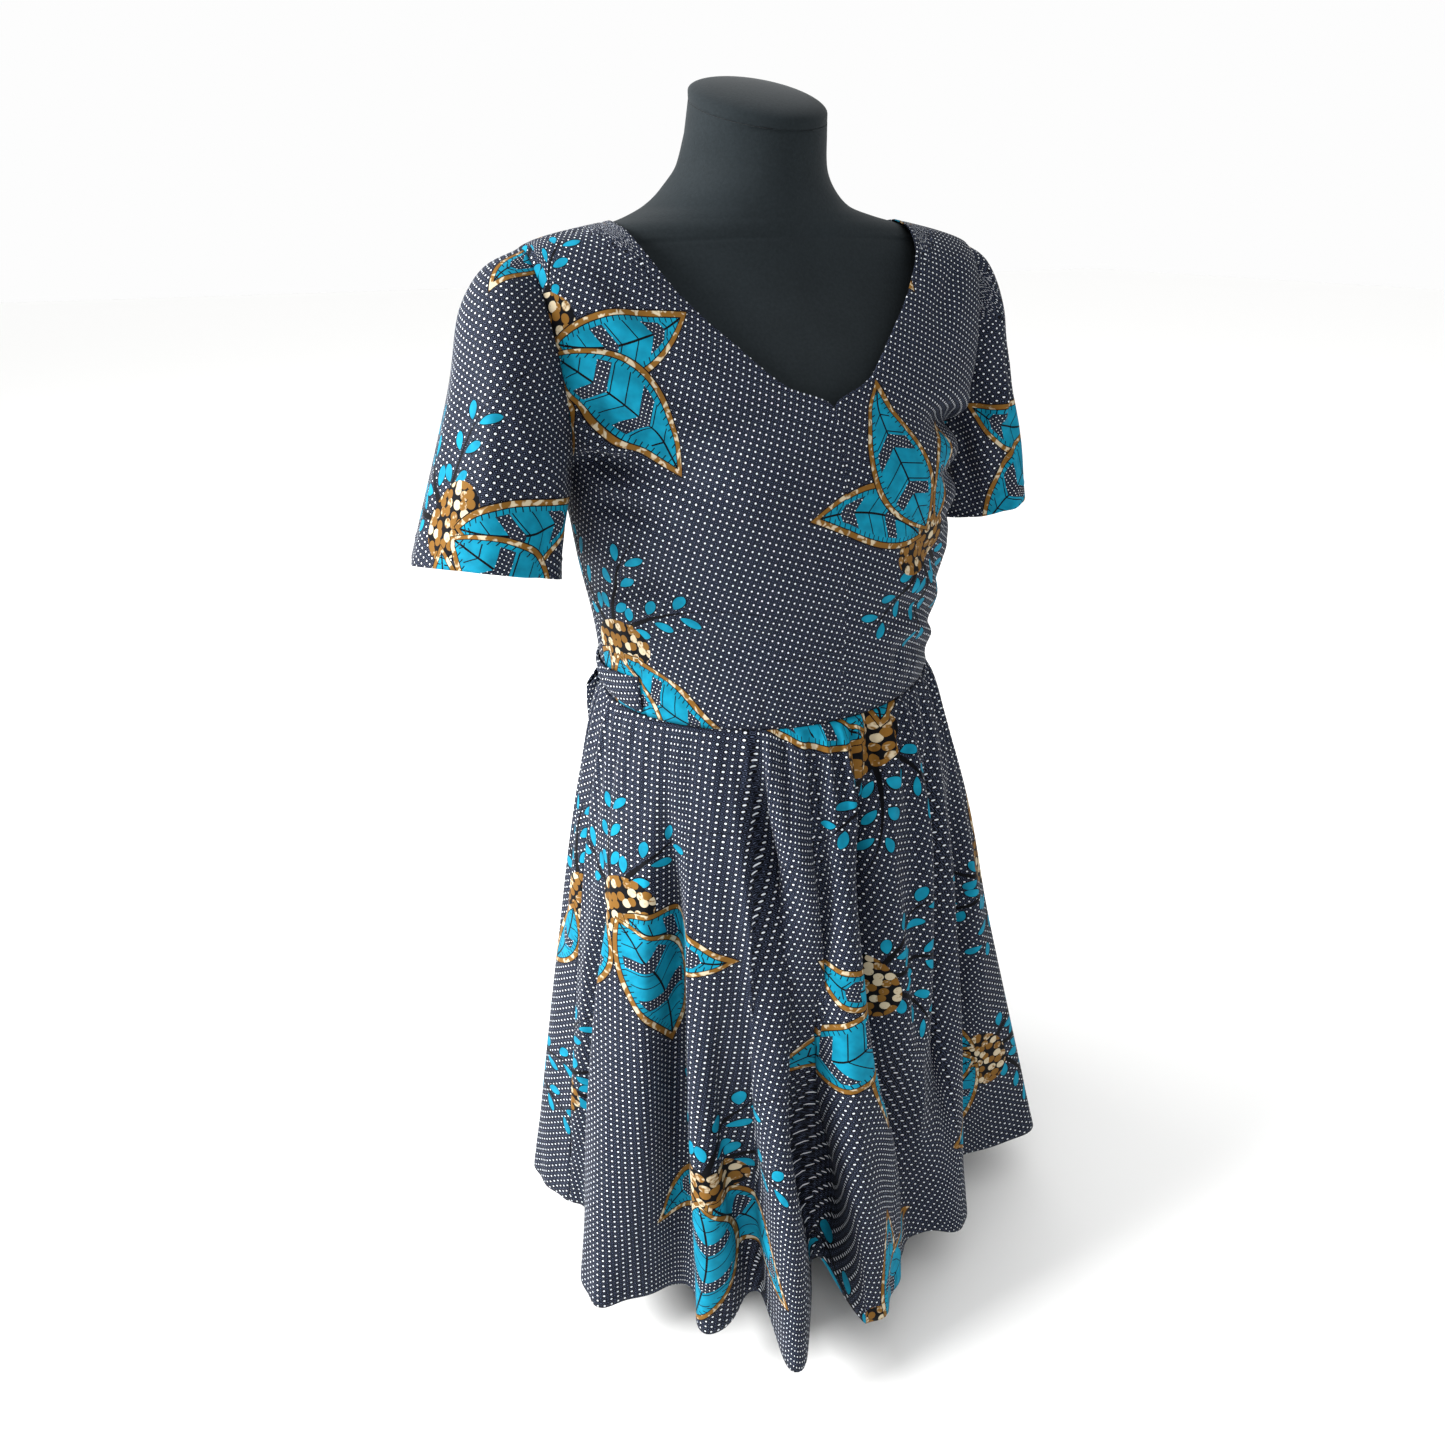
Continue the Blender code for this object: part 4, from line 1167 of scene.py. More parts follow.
@dataclass
class Bodice(Sewn):
    """Front and back of the bodice, each a whole panel with its halves joined on the centre line."""

    columns: int = 72
    row_steps: int = 14
    seam_width: float = 0.0018
    seam_depth: float = 0.0004
    bust_level: float = 2.4
    turned_share: float = 0.80
    way_columns: int = 6
    bust_across: float = 0.078
    bust_up: float = 0.190
    bust_spread: float = 0.042
    bust_swell: float = 0.0065
    sewn_ease: float = 0.010
    waist_ease: float = 0.006
    edge_stitch: float = 0.006
    stitch_depth: float = 0.0005
    stitch_width: float = 0.0012
    dart_foot: float = 0.166
    dart_lean: float = 0.10
    dart_top: float = 0.145
    dart_depth: float = 0.0016
    dart_width: float = 0.0020
    dart_whole: float = 0.75
    open_run: float = 0.4
    open_levels: dict[Half, float] = field(default_factory=lambda: {Half.FRONT: 4.0, Half.BACK: 6.0})
    cuts: tuple[Cut, ...] = (
        Cut(Half.FRONT, (0.52, 0.42), 0.151, (0.062, 0.115)),
        Cut(Half.BACK, (0.50, 0.40), 0.162, (1.42, 0.905)),
    )

    @staticmethod
    def place(half: Half, share: np.ndarray, levels: np.ndarray) -> tuple[np.ndarray, np.ndarray]:
        """Finds points of the bodice's outer face on the wearer's left.

        Args:
            half: Front or back.
            share: Shares of the way from the centre to the side, one row of them for all levels or
                one for each.
            levels: Row numbers in the table.

        Returns:
            The points, and the centre line's or neckline's point at each level.
        """
        rows = PANEL_ROWS[half]
        steps = np.arange(len(rows))
        ahead = 1.0 if half is Half.FRONT else -1.0
        sides = np.array(
            [
                (row.side_x, 0.0, row.side_z)
                if row.armhole_angle is None
                else armhole_points(np.array([ahead * row.armhole_angle]))[0]
                for row in rows
            ]
        )
        sides[np.abs(sides[:, 1]) < TINY, 1] = 0.0
        edge = follow(steps, np.array([row[:3] for row in rows]), levels)[:, None, :]
        x, y, z = np.moveaxis(edge, -1, 0)
        side_x, side_y, side_z = np.moveaxis(follow(steps, sides, levels)[:, None, :], -1, 0)
        turn = share * math.pi / 2.0
        points = stacked(
            x + (side_x - x) * np.sin(turn), side_y + (y - side_y) * np.cos(turn), z + (side_z - z) * share
        )
        return points, edge

    def half(self, half: Half, side: Side) -> Sheet:
        """Builds one half of a panel.

        Args:
            half: Front or back.
            side: The wearer's side.

        Returns:
            The half's grid, its columns running from the centre to the side.
        """
        last = len(PANEL_ROWS[half]) - 1.0
        levels = np.linspace(0.0, last, int(last) * self.row_steps + 1)
        share = np.linspace(0.0, 1.0, self.columns + 1)[None, :]
        points, edge = self.place(half, share, levels)
        run = covered(points, 1)
        flat = stacked((run + edge[:, :, 0]) * side.value, covered(points[:, :, 1:]))
        points[:, :, 0] *= side.value
        flipped = (half is Half.FRONT) != (side is Side.LEFT)
        sheet = Sheet(points, flat, flipped=flipped)
        smooth = Sheet(points * (side.value, 1.0, 1.0), flat)
        smooth.unroll(int(self.bust_level * self.row_steps))
        column = int(self.columns * self.turned_share)
        way = smooth.flat[:, column] - smooth.flat[:, column - self.way_columns]
        way /= np.linalg.norm(way, axis=1, keepdims=True)
        beyond = (run - run[:, column : column + 1])[:, column + 1 :, None]
        smooth.flat[:, column + 1 :] = smooth.flat[:, column, None] + beyond * way[:, None]
        self.sew(sheet, half, levels)
        sheet.flat = smooth.flat * (side.value, 1.0)
        return sheet

    def sew(self, sheet: Sheet, half: Half, levels: np.ndarray) -> None:
        """Presses the creases, the dart, the seams and the neckline's stitching in.

        Args:
            sheet: The half's grid.
            half: Front or back.
            levels: Each row's number in the table.
        """
        up = sheet.flat[:, :, 1]
        across = np.abs(sheet.flat[:, :, 0])
        from_side = across[:, -1:] - across
        from_neck = across - across[:, :1]
        from_shoulder = up[-1:, :] - up
        ease = soft_step(0.0, self.sewn_ease, from_side) * soft_step(0.0, self.sewn_ease, from_shoulder)
        ease = ease * soft_step(0.0, self.waist_ease, up)
        sheet.crease(PANEL_CREASES[half], ease)
        if half is Half.FRONT:
            swell = bump(across - self.bust_across, self.bust_spread) * bump(up - self.bust_up, self.bust_spread)
            sheet.press(-self.bust_swell * ease * swell)
        for distance in (up, from_side, from_shoulder):
            sheet.groove(distance, 0.0, self.seam_depth, self.seam_width)
        open_level = self.open_levels[half]
        opened = soft_step(open_level, open_level + self.open_run, levels)[:, None]
        sheet.press(opened * self.stitch_depth * bump(from_neck - self.edge_stitch, self.stitch_width))
        off = across - self.dart_foot - self.dart_lean * up
        height = 1.0 - soft_step(self.dart_top * self.dart_whole, self.dart_top, up)
        sheet.press(self.dart_depth * height * bump(off, self.dart_width))

    def build(self) -> None:
        """Builds and dresses both panels."""
        for cut in self.cuts:
            sheets = [self.half(cut.part, side) for side in Side]
            for sheet in sheets:
                sheet.flat = sheet.flat + cut.print_at
            piece = cloth_piece(f"bodice_{cut.part.name.lower()}_cloth", sheets, self.finish)
            self.settle(piece, cut.flat, Held.DRAPED, ["form_torso"], cut.area)


@dataclass
class Sleeves(Sewn):
    """Two short set-in sleeves with a stitched hem."""

    columns: int = 168
    row_steps: int = 12
    round_length: float = 0.400
    laid_first: float = 0.7
    sewn_ease: float = 0.010
    under_ease: float = 0.006
    seam: Line = Line(0.0, 0.0004, 0.0020)
    hem: Line = Line(0.016, 0.0006, 0.0014)
    wave_run: tuple[float, float] = (0.06, 0.17)
    waves: tuple[Wave, ...] = (Wave(0.0012, 5.0, 1.3), Wave(0.0008, 11.0, 0.4))
    hangs: dict[Side, Hang] = field(
        default_factory=lambda: {Side.RIGHT: Hang(0.0, 0.0, 0.020), Side.LEFT: Hang(0.026, 0.020, 0.006)}
    )
    cuts: tuple[Cut, ...] = (
        Cut(Side.RIGHT, (0.42, 0.21), 0.062, (2.31, 0.46)),
        Cut(Side.LEFT, (0.42, 0.21), 0.062, (3.095, 1.33)),
    )

    def sheet(self, side: Side) -> Sheet:
        """Builds one sleeve's grid.

        Args:
            side: The wearer's side.

        Returns:
            The grid, its rows running from the armhole to the hem.
        """
        hang = self.hangs[side]
        turns = np.linspace(-180.0, 180.0, self.columns + 1)
        turn = np.radians(turns)
        rings = [armhole_points(turns)]
        ahead = np.sin(turn)
        for number, row in enumerate(SLEEVE_ROWS):
            fall = (number + 1) / len(SLEEVE_ROWS)
            outer = np.array((row.outer_x - hang.tuck * min(1.0, 2.0 * fall), hang.swing * fall, row.outer_z))
            inner = np.array((row.inner_x, hang.swing * fall, row.inner_z))
            ring = (outer + inner) / 2.0 + (outer - inner) / 2.0 * np.cos(turn)[:, None]
            ring[:, 1] -= np.where(ahead > 0.0, row.front, row.back) * ahead
            ring[:, 2] += hang.lift * fall * np.maximum(ahead, 0.0)
            rings.append(ring)
        sections = np.array(rings).reshape(len(rings), -1)
        stations = np.linspace(0.0, len(SLEEVE_ROWS), len(SLEEVE_ROWS) * self.row_steps + 1)
        points = follow(range(len(rings)), sections, stations).reshape(len(stations), self.columns + 1, 3)
        down = covered(points)
        around = turns / 360.0 * self.round_length
        points[:, :, 0] *= side.value
        sheet = Sheet(points, stacked(around, down), ring=True, flipped=side is Side.LEFT)
        smooth = Sheet(points * (side.value, 1.0, 1.0), sheet.flat, ring=True)
        smooth.unroll(int(len(stations) * self.laid_first))
        from_seam = self.round_length / 2.0 - np.abs(around)
        ease = soft_step(0.0, self.sewn_ease, down) * soft_step(0.0, self.under_ease, from_seam)
        sheet.crease(SLEEVE_CREASES[side], ease)
        sheet.groove(down, *self.seam)
        sheet.groove(down[-1:, :] - down, *self.hem)
        sheet.press(sum(wave.at(turn) for wave in self.waves) * soft_step(*self.wave_run, down))
        sheet.flat = smooth.flat * (1.0, -1.0)
        return sheet

    def build(self) -> None:
        """Builds and dresses both sleeves."""
        for cut in self.cuts:
            sheet = self.sheet(cut.part)
            sheet.flat = sheet.flat + cut.print_at
            piece = cloth_piece(f"sleeve_{cut.part.name.lower()}_cloth", [sheet], self.finish)
            weld = piece.modifiers.new("sleeve_seam", "WELD")
            weld.merge_threshold = MERGE
            piece.modifiers.move(1, 0)
            self.settle(piece, cut.flat, Held.HUNG, ["bodice_front_cloth"], cut.area)


@dataclass
class Skirt(Sewn):
    """Front and back of the skirt, gathered into the waist seam and flaring into flutes."""

    columns: int = 420
    rows: int = 110
    row_power: float = 1.15
    flare_power: float = 0.66
    flute_power: float = 1.35
    hem_mean: float = 0.223
    even_share: float = 0.5
    gathers: int = 44
    gather_heights: tuple[tuple[float, float], ...] = (
        (0.0, 0.0),
        (0.012, 0.0018),
        (0.03, 0.0034),
        (0.08, 0.0038),
        (0.17, 0.0020),
        (0.30, 0.0008),
        (0.46, 0.0003),
        (0.64, 0.0),
        (1.0, 0.0),
    )
    gather_even: float = 0.8
    gather_uneven: tuple[Wave, Wave] = (Wave(0.3, 5.0, 1.0), Wave(1.0, 3.0))
    gather_drift: tuple[Wave, Wave] = (Wave(1.5, 6.0, 0.7), Wave(0.9, 13.0))
    fine_gathers: Wave = Wave(0.35, 2.3, 1.1)
    fine_run: tuple[float, float] = (0.05, 0.22)
    fold_start: tuple[float, float] = (-0.04, 0.30)
    fold_end: tuple[float, float] = (0.55, 1.05)
    fold_opens: tuple[float, float] = (0.85, 0.25)
    fold_lip: float = 0.30
    lip_off: float = 2.0
    lip_width: float = 1.1
    fold_power: float = 1.7
    fold_ease: float = 0.045
    waist_line: Line = Line(0.0, 0.0004, 0.0018)
    hem_line: Line = Line(0.018, 0.0006, 0.0016)
    side_line: Line = Line(0.0, 0.0008, 0.0022)
    curl_from: float = 0.86
    curls: tuple[Wave, Wave] = (Wave(0.0014, 31.0), Wave(0.0010, 53.0))
    curl_drift: Wave = Wave(2.0, 5.0)
    cut_flat: tuple[float, float] = (1.10, 0.60)
    cut_area: float = 0.46
    print_at: dict[Half, tuple[float, float]] = field(
        default_factory=lambda: {Half.FRONT: (0.118, 0.505), Half.BACK: (5.235, 0.640)}
    )

    def hem_radius(self, angles: np.ndarray) -> np.ndarray:
        """Finds how far the hem is from the middle.

        Args:
            angles: Degrees from the front.

        Returns:
            The distance at each angle.
        """
        stops = sorted([row[:2] for row in FLUTES] + [row[2:] for row in FLUTES])
        stops = [(stops[-1][0] - 360.0, stops[-1][1])] + stops + [(stops[0][0] + 360.0, stops[0][1])]
        at, radius = np.array(stops).T
        turn = (angles + 180.0) % 360.0 - 180.0
        k = np.clip(np.searchsorted(at, turn, side="right") - 1, 0, len(at) - 2)
        share = (1.0 - np.cos(math.pi * (turn - at[k]) / (at[k + 1] - at[k]))) / 2.0
        return radius[k] + (radius[k + 1] - radius[k]) * share

    def outline(
        self, angles: np.ndarray, share: np.ndarray | float, ripple: np.ndarray | float = 0.0
    ) -> np.ndarray:
        """Places the flared skirt, before its folds are pressed in.

        Args:
            angles: Degrees from the front.
            share: Shares of the skirt's length, of a shape that fits.
            ripple: How far its gathers stand out.

        Returns:
            The places across and from front to back, along the last axis.
        """
        turn = np.radians(angles)
        ahead = np.cos(turn)
        waist_y = np.where(ahead > 0.0, FRONT_ROWS[0].edge_y, -BACK_ROWS[0].edge_y) * ahead
        spread = share**self.flare_power
        flute = share**self.flute_power * (self.hem_radius(angles) - self.hem_mean)
        reach = spread * self.hem_mean + flute + ripple
        waist_x = BACK_ROWS[0].side_x * np.sin(turn)
        return stacked(waist_x * (1.0 - spread) + np.sin(turn) * reach, waist_y * (1.0 - spread) - ahead * reach)

    def gathering(self, turn: np.ndarray, share: np.ndarray) -> np.ndarray:
        """How far the cloth stands out in its gathers.

        Args:
            turn: Each column's turn from the front, in radians.
            share: Each row's share of the skirt's length.

        Returns:
            The gathers' height at each point.
        """
        places, heights = np.array(self.gather_heights).T
        height = follow(places, heights[:, None], share)
        angles = (np.degrees(turn) + 180.0) % 360.0 - 180.0
        strength = np.interp(angles, *np.array(GATHERING).T)
        uneven = strength * (self.gather_even + self.gather_uneven[0].at(turn) * self.gather_uneven[1].at(turn))
        phase = self.gathers * turn + sum(wave.at(turn) for wave in self.gather_drift)
        fine = self.fine_gathers.height * np.cos(self.fine_gathers.turns * phase + self.fine_gathers.phase)
        fade = (1.0 - soft_step(*self.fine_run, share))[:, None]
        return height * uneven * (np.cos(phase) + fine * fade)

    def fold_depth(self, angles: np.ndarray, share: np.ndarray) -> np.ndarray:
        """Finds the depth of the folds that run down from the waist.

        Args:
            angles: Each column's degrees from the front.
            share: Each row's share of the skirt's length.

        Returns:
            The depth at each point.
        """
        depth = np.zeros((len(share), len(angles)))
        for row in SKIRT_FOLDS:
            t = (share - row.top_share) / (row.low_share - row.top_share)
            down = np.clip(t, 0.0, 1.0)
            line = follow(np.linspace(0.0, 1.0, len(row.angles)), np.array(row.angles)[:, None], down)
            off = (angles[None, :] - line + 180.0) % 360.0 - 180.0
            ends = soft_step(*self.fold_start, t) * (1.0 - soft_step(*self.fold_end, t))
            width = row.width * (self.fold_opens[0] + self.fold_opens[1] * down)[:, None]
            lip = self.fold_lip * bump(np.abs(off) - self.lip_off * width, self.lip_width * width)
            depth += row.depth * ends[:, None] * (np.exp(-np.abs(off / width) ** self.fold_power) - lip)
        return depth * soft_step(0.0, self.fold_ease, share)[:, None]

    def whole(self) -> Sheet:
        """Builds the whole skirt as a ring.

        Returns:
            Its grid, from the right side seam round the front and the back.
        """
        angles = np.linspace(-90.0, 270.0, 2 * self.columns + 1)
        turn = np.radians(angles)
        share = np.linspace(0.0, 1.0, self.rows + 1) ** self.row_power
        down = (share * SKIRT_LENGTH)[:, None]
        shape = self.outline(angles, share[:, None])
        points = stacked(shape[:, :, 0], shape[:, :, 1], -down)
        points[-1, :, 2] -= SEAM_GAP
        sheet = Sheet(points, np.zeros(points.shape[:2] + (2,)), ring=True, flipped=True)
        sheet.press(self.fold_depth(angles, share))
        waist, level, hem = covered(sheet.points, 1)[[0, int(self.rows * self.even_share), -1]]
        opening = (hem[-1] - waist[-1]) / SKIRT_LENGTH
        sheet.flat = stacked((level / level[-1] - 0.25) * opening, waist[-1] / opening + down)
        sheet.press(-self.gathering(turn, share))
        sheet.groove(down, *self.waist_line)
        sheet.groove(SKIRT_LENGTH - down, *self.hem_line)
        curl = self.curls[0].at(turn, self.curl_drift.at(turn)) + self.curls[1].at(turn)
        sheet.press(curl * soft_step(self.curl_from, 1.0, share)[:, None])
        around = np.minimum(np.abs(angles - 90.0), 180.0 - np.abs(angles - 90.0))
        sheet.groove(np.radians(around)[None, :] * self.hem_mean, *self.side_line)
        return sheet

    def build(self) -> None:
        """Builds and dresses both halves."""
        whole = self.whole()
        for number, half in enumerate(Half):
            cut = slice(number * self.columns, (number + 1) * self.columns + 1)
            sector, length = np.moveaxis(whole.flat[:, cut], -1, 0)
            sector = sector - sector[:, self.columns // 2, None]
            flat = stacked(length * np.sin(sector), -length * np.cos(sector)) + self.print_at[half]
            word = half.name.lower()
            sheet = Sheet(whole.points[:, cut], flat, flipped=True)
            piece = cloth_piece(f"skirt_{word}_cloth", [sheet], self.finish)
            self.settle(piece, self.cut_flat, Held.GATHERED, [f"bodice_{word}_cloth"], self.cut_area)


@dataclass
class Ties(Sewn):
    """The sash and bow: two ties sewn into the darts, led round to a bow at the centre back."""

    tie_foot_share: float = 0.755
    tie_low: float = 0.003
    tie_wide: float = 0.031
    tie_narrow: float = 0.021
    tie_thick: float = 0.0014
    tie_lift: float = 0.0008
    tie_rows: int = 18
    tie_front_columns: int = 30
    tie_back_columns: int = 120
    tie_foot: float = 0.0016
    tie_foot_run: float = 0.02
    pleats: float = 2.5
    pleat_depth: float = 0.0009
    pleat_drift: Wave = Wave(0.35, 9.0)
    pleat_run: float = 0.25
    knot_half: float = 0.0130
    knot_depth: float = 0.016
    knot_height: float = 0.032
    knot_columns: int = 96
    knot_rows: int = 48
    knot_powers: tuple[float, float] = (3.2, 2.4)
    knot_least: float = 0.02
    knot_square: float = 0.62
    knot_folds: tuple[float, float, float] = (0.05, 4.0, 2.2)
    knot_print: float = 0.011
    knot_thick: float = 0.0008
    loop_length: float = 0.112
    loop_swell: float = 0.010
    loop_width: float = 0.038
    loop_droop: float = 0.086
    loop_droop_power: float = 1.5
    loop_steps: int = 18
    loop_fine: int = 8
    loop_opening: float = 0.02
    loop_root: float = 0.0035
    loop_pinch: float = 0.5
    loop_opens: float = 3.0
    loop_clear: float = 0.0085
    loop_gathers: Wave = Wave(0.0018, 7.0 * math.pi)
    loop_gather_run: float = 0.22
    loop_sway: Wave = Wave(0.0012, 5.0)
    loop_sway_drift: float = 8.0
    tail_width: float = 0.034
    tail_length: float = 0.190
    tail_spread: float = 0.030
    tail_steps: int = 8
    tail_fine: int = 10
    tail_start: float = 0.010
    tail_pinch: float = 0.5
    tail_opens: float = 4.0
    tail_slant: float = 0.012
    tail_slant_power: int = 6
    tail_clear: float = 0.0045
    tail_gathers: Wave = Wave(0.0014, 8.0 * math.pi)
    tail_gather_run: float = 0.16
    tail_sway: Wave = Wave(0.0016, 3.2 * math.pi)
    tail_sway_drift: float = 2.0
    strip_points: int = 21
    near: float = 0.016
    skirt_ripple: float = 0.0036
    skirt_ripples: float = 36.0
    skirt_step: float = 2.5
    print_apart: float = 0.31

    def knot_centre(self) -> np.ndarray:
        """Finds the middle of the knot.

        Returns:
            Its place, from the waist seam.
        """
        y = BACK_ROWS[0].edge_y + REST_GAP + self.knot_depth / 2.0
        return np.array((0.0, y, self.tie_low + self.tie_wide / 2.0))

    def back_reach(self, x: float, z: float, skirt: Skirt) -> float:
        """How far back the skirt reaches near a place behind the waist.

        Args:
            x: Place across.
            z: Height from the waist seam.
            skirt: The skirt.

        Returns:
            The largest Y of the skirt near that place.
        """
        share = min(max(-z / SKIRT_LENGTH, 0.0), 1.0)
        angles = math.copysign(1.0, x) * np.arange(180.0, 90.0 - self.skirt_step / 2.0, -self.skirt_step)
        ripple = self.skirt_ripple * np.cos(self.skirt_ripples * np.radians(angles))
        across, behind = skirt.outline(angles, share, ripple).T
        close = np.abs(across - x) < self.near
        return float(behind[close].max()) if close.any() else 0.0

    def tie(self, side: Side) -> Sheet:
        """Builds one tie, from the dart round the side to the knot.

        Args:
            side: The wearer's side.

        Returns:
            The tie's grid.
        """
        end = math.asin((self.knot_half + REST_GAP) / BACK_ROWS[0].side_x) * 2.0 / math.pi
        front = np.linspace(self.tie_foot_share, 1.0, self.tie_front_columns + 1)[:-1]
        back = np.linspace(1.0, end, self.tie_back_columns + 1)
        across = np.linspace(0.0, 1.0, self.tie_rows + 1)[:, None]
        run = np.append((front - self.tie_foot_share) / (1.0 - self.tie_foot_share), np.ones(len(back)))
        width = self.tie_wide + (self.tie_narrow - self.tie_wide) * run
        z = self.tie_low + (self.tie_wide - width) / 2.0 + across * width
        levels = z / FRONT_ROWS[1].edge_z
        laid = []
        for half, shares, there in (
            (Half.FRONT, front, levels[:, : len(front)]),
            (Half.BACK, back, levels[:, len(front) :]),
        ):
            points, _ = Bodice.place(half, np.tile(shares, len(z))[:, None], there.ravel())
            laid.append(points.reshape(there.shape + (3,)))
        points = np.concatenate(laid, axis=1)
        points[:, :, 2] = z
        along = covered(points[self.tie_rows // 2])
        points[:, :, 0] *= side.value
        sheet = Sheet(points, stacked(along, across * width), flipped=side is Side.RIGHT)
        tuck = (along / along[-1])[None, :]
        turn = 2.0 * math.pi * (self.pleats * across + self.pleat_drift.at(tuck))
        pleat = self.pleat_depth * (1.0 + np.cos(turn)) * soft_step(0.0, self.pleat_run, tuck)
        foot = self.tie_foot * (1.0 - soft_step(0.0, self.tie_foot_run, tuck))
        sheet.press(foot - self.tie_lift - self.tie_thick - pleat)
        return sheet

    def loop(self, side: Side, skirt: Skirt) -> Sheet:
        """Builds one loop of the bow.

        Args:
            side: The wearer's side.
            skirt: The skirt that it rests on.

        Returns:
            The loop's grid.
        """
        centre = self.knot_centre()
        stations = []
        for k in range(self.loop_steps + 1):
            turn = 2.0 * math.pi * (self.loop_opening + (1.0 - 2.0 * self.loop_opening) * k / self.loop_steps)
            reach = (1.0 - math.cos(turn)) / 2.0
            swell = self.loop_swell * (1.0 + math.sin(turn)) * math.sqrt(reach)
            root = (1.0 - reach) * self.loop_root * (1.0 if k < self.loop_steps / 2.0 else -1.0)
            x = side.value * (self.knot_half + REST_GAP + self.loop_length * reach)
            pinch = self.loop_pinch + (1.0 - self.loop_pinch) * min(1.0, self.loop_opens * reach)
            middle = centre[2] - self.loop_droop * reach**self.loop_droop_power
            behind = self.back_reach(x, middle - self.loop_width / 2.0, skirt)
            stations.append((x, behind + self.loop_clear + swell + root, middle, pinch, reach))
        fine = np.linspace(0.0, self.loop_steps, self.loop_fine * self.loop_steps + 1)
        path = follow(range(self.loop_steps + 1), np.array(stations), fine)
        x, y, z, pinch, reach = path.T
        heights = np.linspace(0.5, -0.5, self.strip_points)[:, None]
        fade = np.exp(-reach / self.loop_gather_run)
        gather = self.loop_gathers.height * fade * np.cos(self.loop_gathers.turns * heights)
        sway = self.loop_sway.at(heights, self.loop_sway_drift * reach)
        points = stacked(x, y + gather + sway, z + self.loop_width * heights * pinch)
        flat = stacked(covered(path[:, :3]), heights * self.loop_width)
        return Sheet(points, flat, flipped=side is Side.RIGHT)

    def tail(self, side: Side, skirt: Skirt) -> Sheet:
        """Builds one hanging end of the bow.

        Args:
            side: The wearer's side.
            skirt: The skirt that it rests on.

        Returns:
            The tail's grid.
        """
        centre = self.knot_centre()
        top = centre[2] - self.knot_height / 2.0 - REST_GAP
        stations = []
        for row in range(self.tail_steps + 1):
            share = row / self.tail_steps
            z = top - share * self.tail_length
            opened = min(1.0, self.tail_opens * share)
            width = self.tail_width * (self.tail_pinch + (1.0 - self.tail_pinch) * opened)
            middle = max(self.tail_start + self.tail_spread * share, width / 2.0 + CLOTH)
            behind = self.back_reach(side.value * middle, z - self.tail_length / self.tail_steps, skirt)
            y = centre[1] if row == 0 else behind + self.tail_clear
            stations.append((middle, y, z, width, share))
        fine = np.linspace(0.0, self.tail_steps, self.tail_fine * self.tail_steps + 1)
        x, y, z, width, share = follow(range(self.tail_steps + 1), np.array(stations), fine).T[:, :, None]
        edge = np.linspace(-0.5, 0.5, self.strip_points)
        fade = np.exp(-share / self.tail_gather_run)
        gather = self.tail_gathers.height * fade * np.cos(self.tail_gathers.turns * edge)
        sway = np.cos(self.tail_sway.turns * edge + self.tail_sway_drift * share)
        sway = self.tail_sway.height * sway * (1.0 - fade)
        slant = self.tail_slant * (edge + 0.5) * share**self.tail_slant_power
        points = stacked(side.value * (x + edge * width), y + gather + sway, z - slant)
        flat = stacked(edge * self.tail_width, -share * self.tail_length)
        return Sheet(points, flat, flipped=side is Side.LEFT)

    def knot(self) -> Sheet:
        """Builds the knot: a cushioned wrap of cloth with soft folds across it.

        Returns:
            The knot's grid.
        """
        turns = np.linspace(0.0, 2.0 * math.pi, self.knot_columns + 1)
        rises = np.linspace(-1.0, 1.0, self.knot_rows + 1)[:, None]
        across, over = (np.sign(at) * np.abs(at) ** self.knot_square for at in (np.cos(turns), np.sin(turns)))
        shoulder, crown = self.knot_powers
        girth = (1.0 - np.abs(rises) ** shoulder) ** (1.0 / crown) * (1.0 - self.knot_least) + self.knot_least
        depth, count, lean = self.knot_folds
        girth = girth * (1.0 - depth * (1.0 + np.cos(count * turns + lean * rises)) * (1.0 - rises**2))
        rise = self.knot_height / 2.0 * rises
        shape = stacked(self.knot_half * girth * across, self.knot_depth / 2.0 * girth * over, rise)
        return Sheet(self.knot_centre() + shape, stacked(turns * self.knot_print, rise))

    def build(self) -> None:
        """Builds and dresses the ties, the knot, the loops and the tails."""
        skirt = Skirt(self.finish)
        knot = cloth_piece("bow_knot_cloth", [self.knot()], self.finish, self.knot_thick)
        self.settle(knot, (0.08, 0.035), Held.FOLDED, ["bodice_back_cloth"])
        for side in Side:
            word = side.name.lower()
            for name, sheet, cut, held, rests, thick in (
                (
                    f"tie_{word}_cloth",
                    self.tie(side),
                    Cut(side, (0.27, 0.031), None, (4.03, 0.205)),
                    Held.DRAPED,
                    "bodice_back_cloth",
                    self.tie_thick,
                ),
                (
                    f"bow_loop_{word}_cloth",
                    self.loop(side, skirt),
                    Cut(side, (0.30, 0.038), None, (6.17, 0.52)),
                    Held.FOLDED,
                    "bow_knot_cloth",
                    CLOTH,
                ),
                (
                    f"bow_tail_{word}_cloth",
                    self.tail(side, skirt),
                    Cut(side, (0.034, 0.19), None, (7.22, 0.44)),
                    Held.HUNG,
                    "bow_knot_cloth",
                    CLOTH,
                ),
            ):
                sheet.flat = sheet.flat + (cut.print_at[0] + side.value * self.print_apart, cut.print_at[1])
                self.settle(cloth_piece(name, [sheet], self.finish, thick), cut.flat, held, [rests])


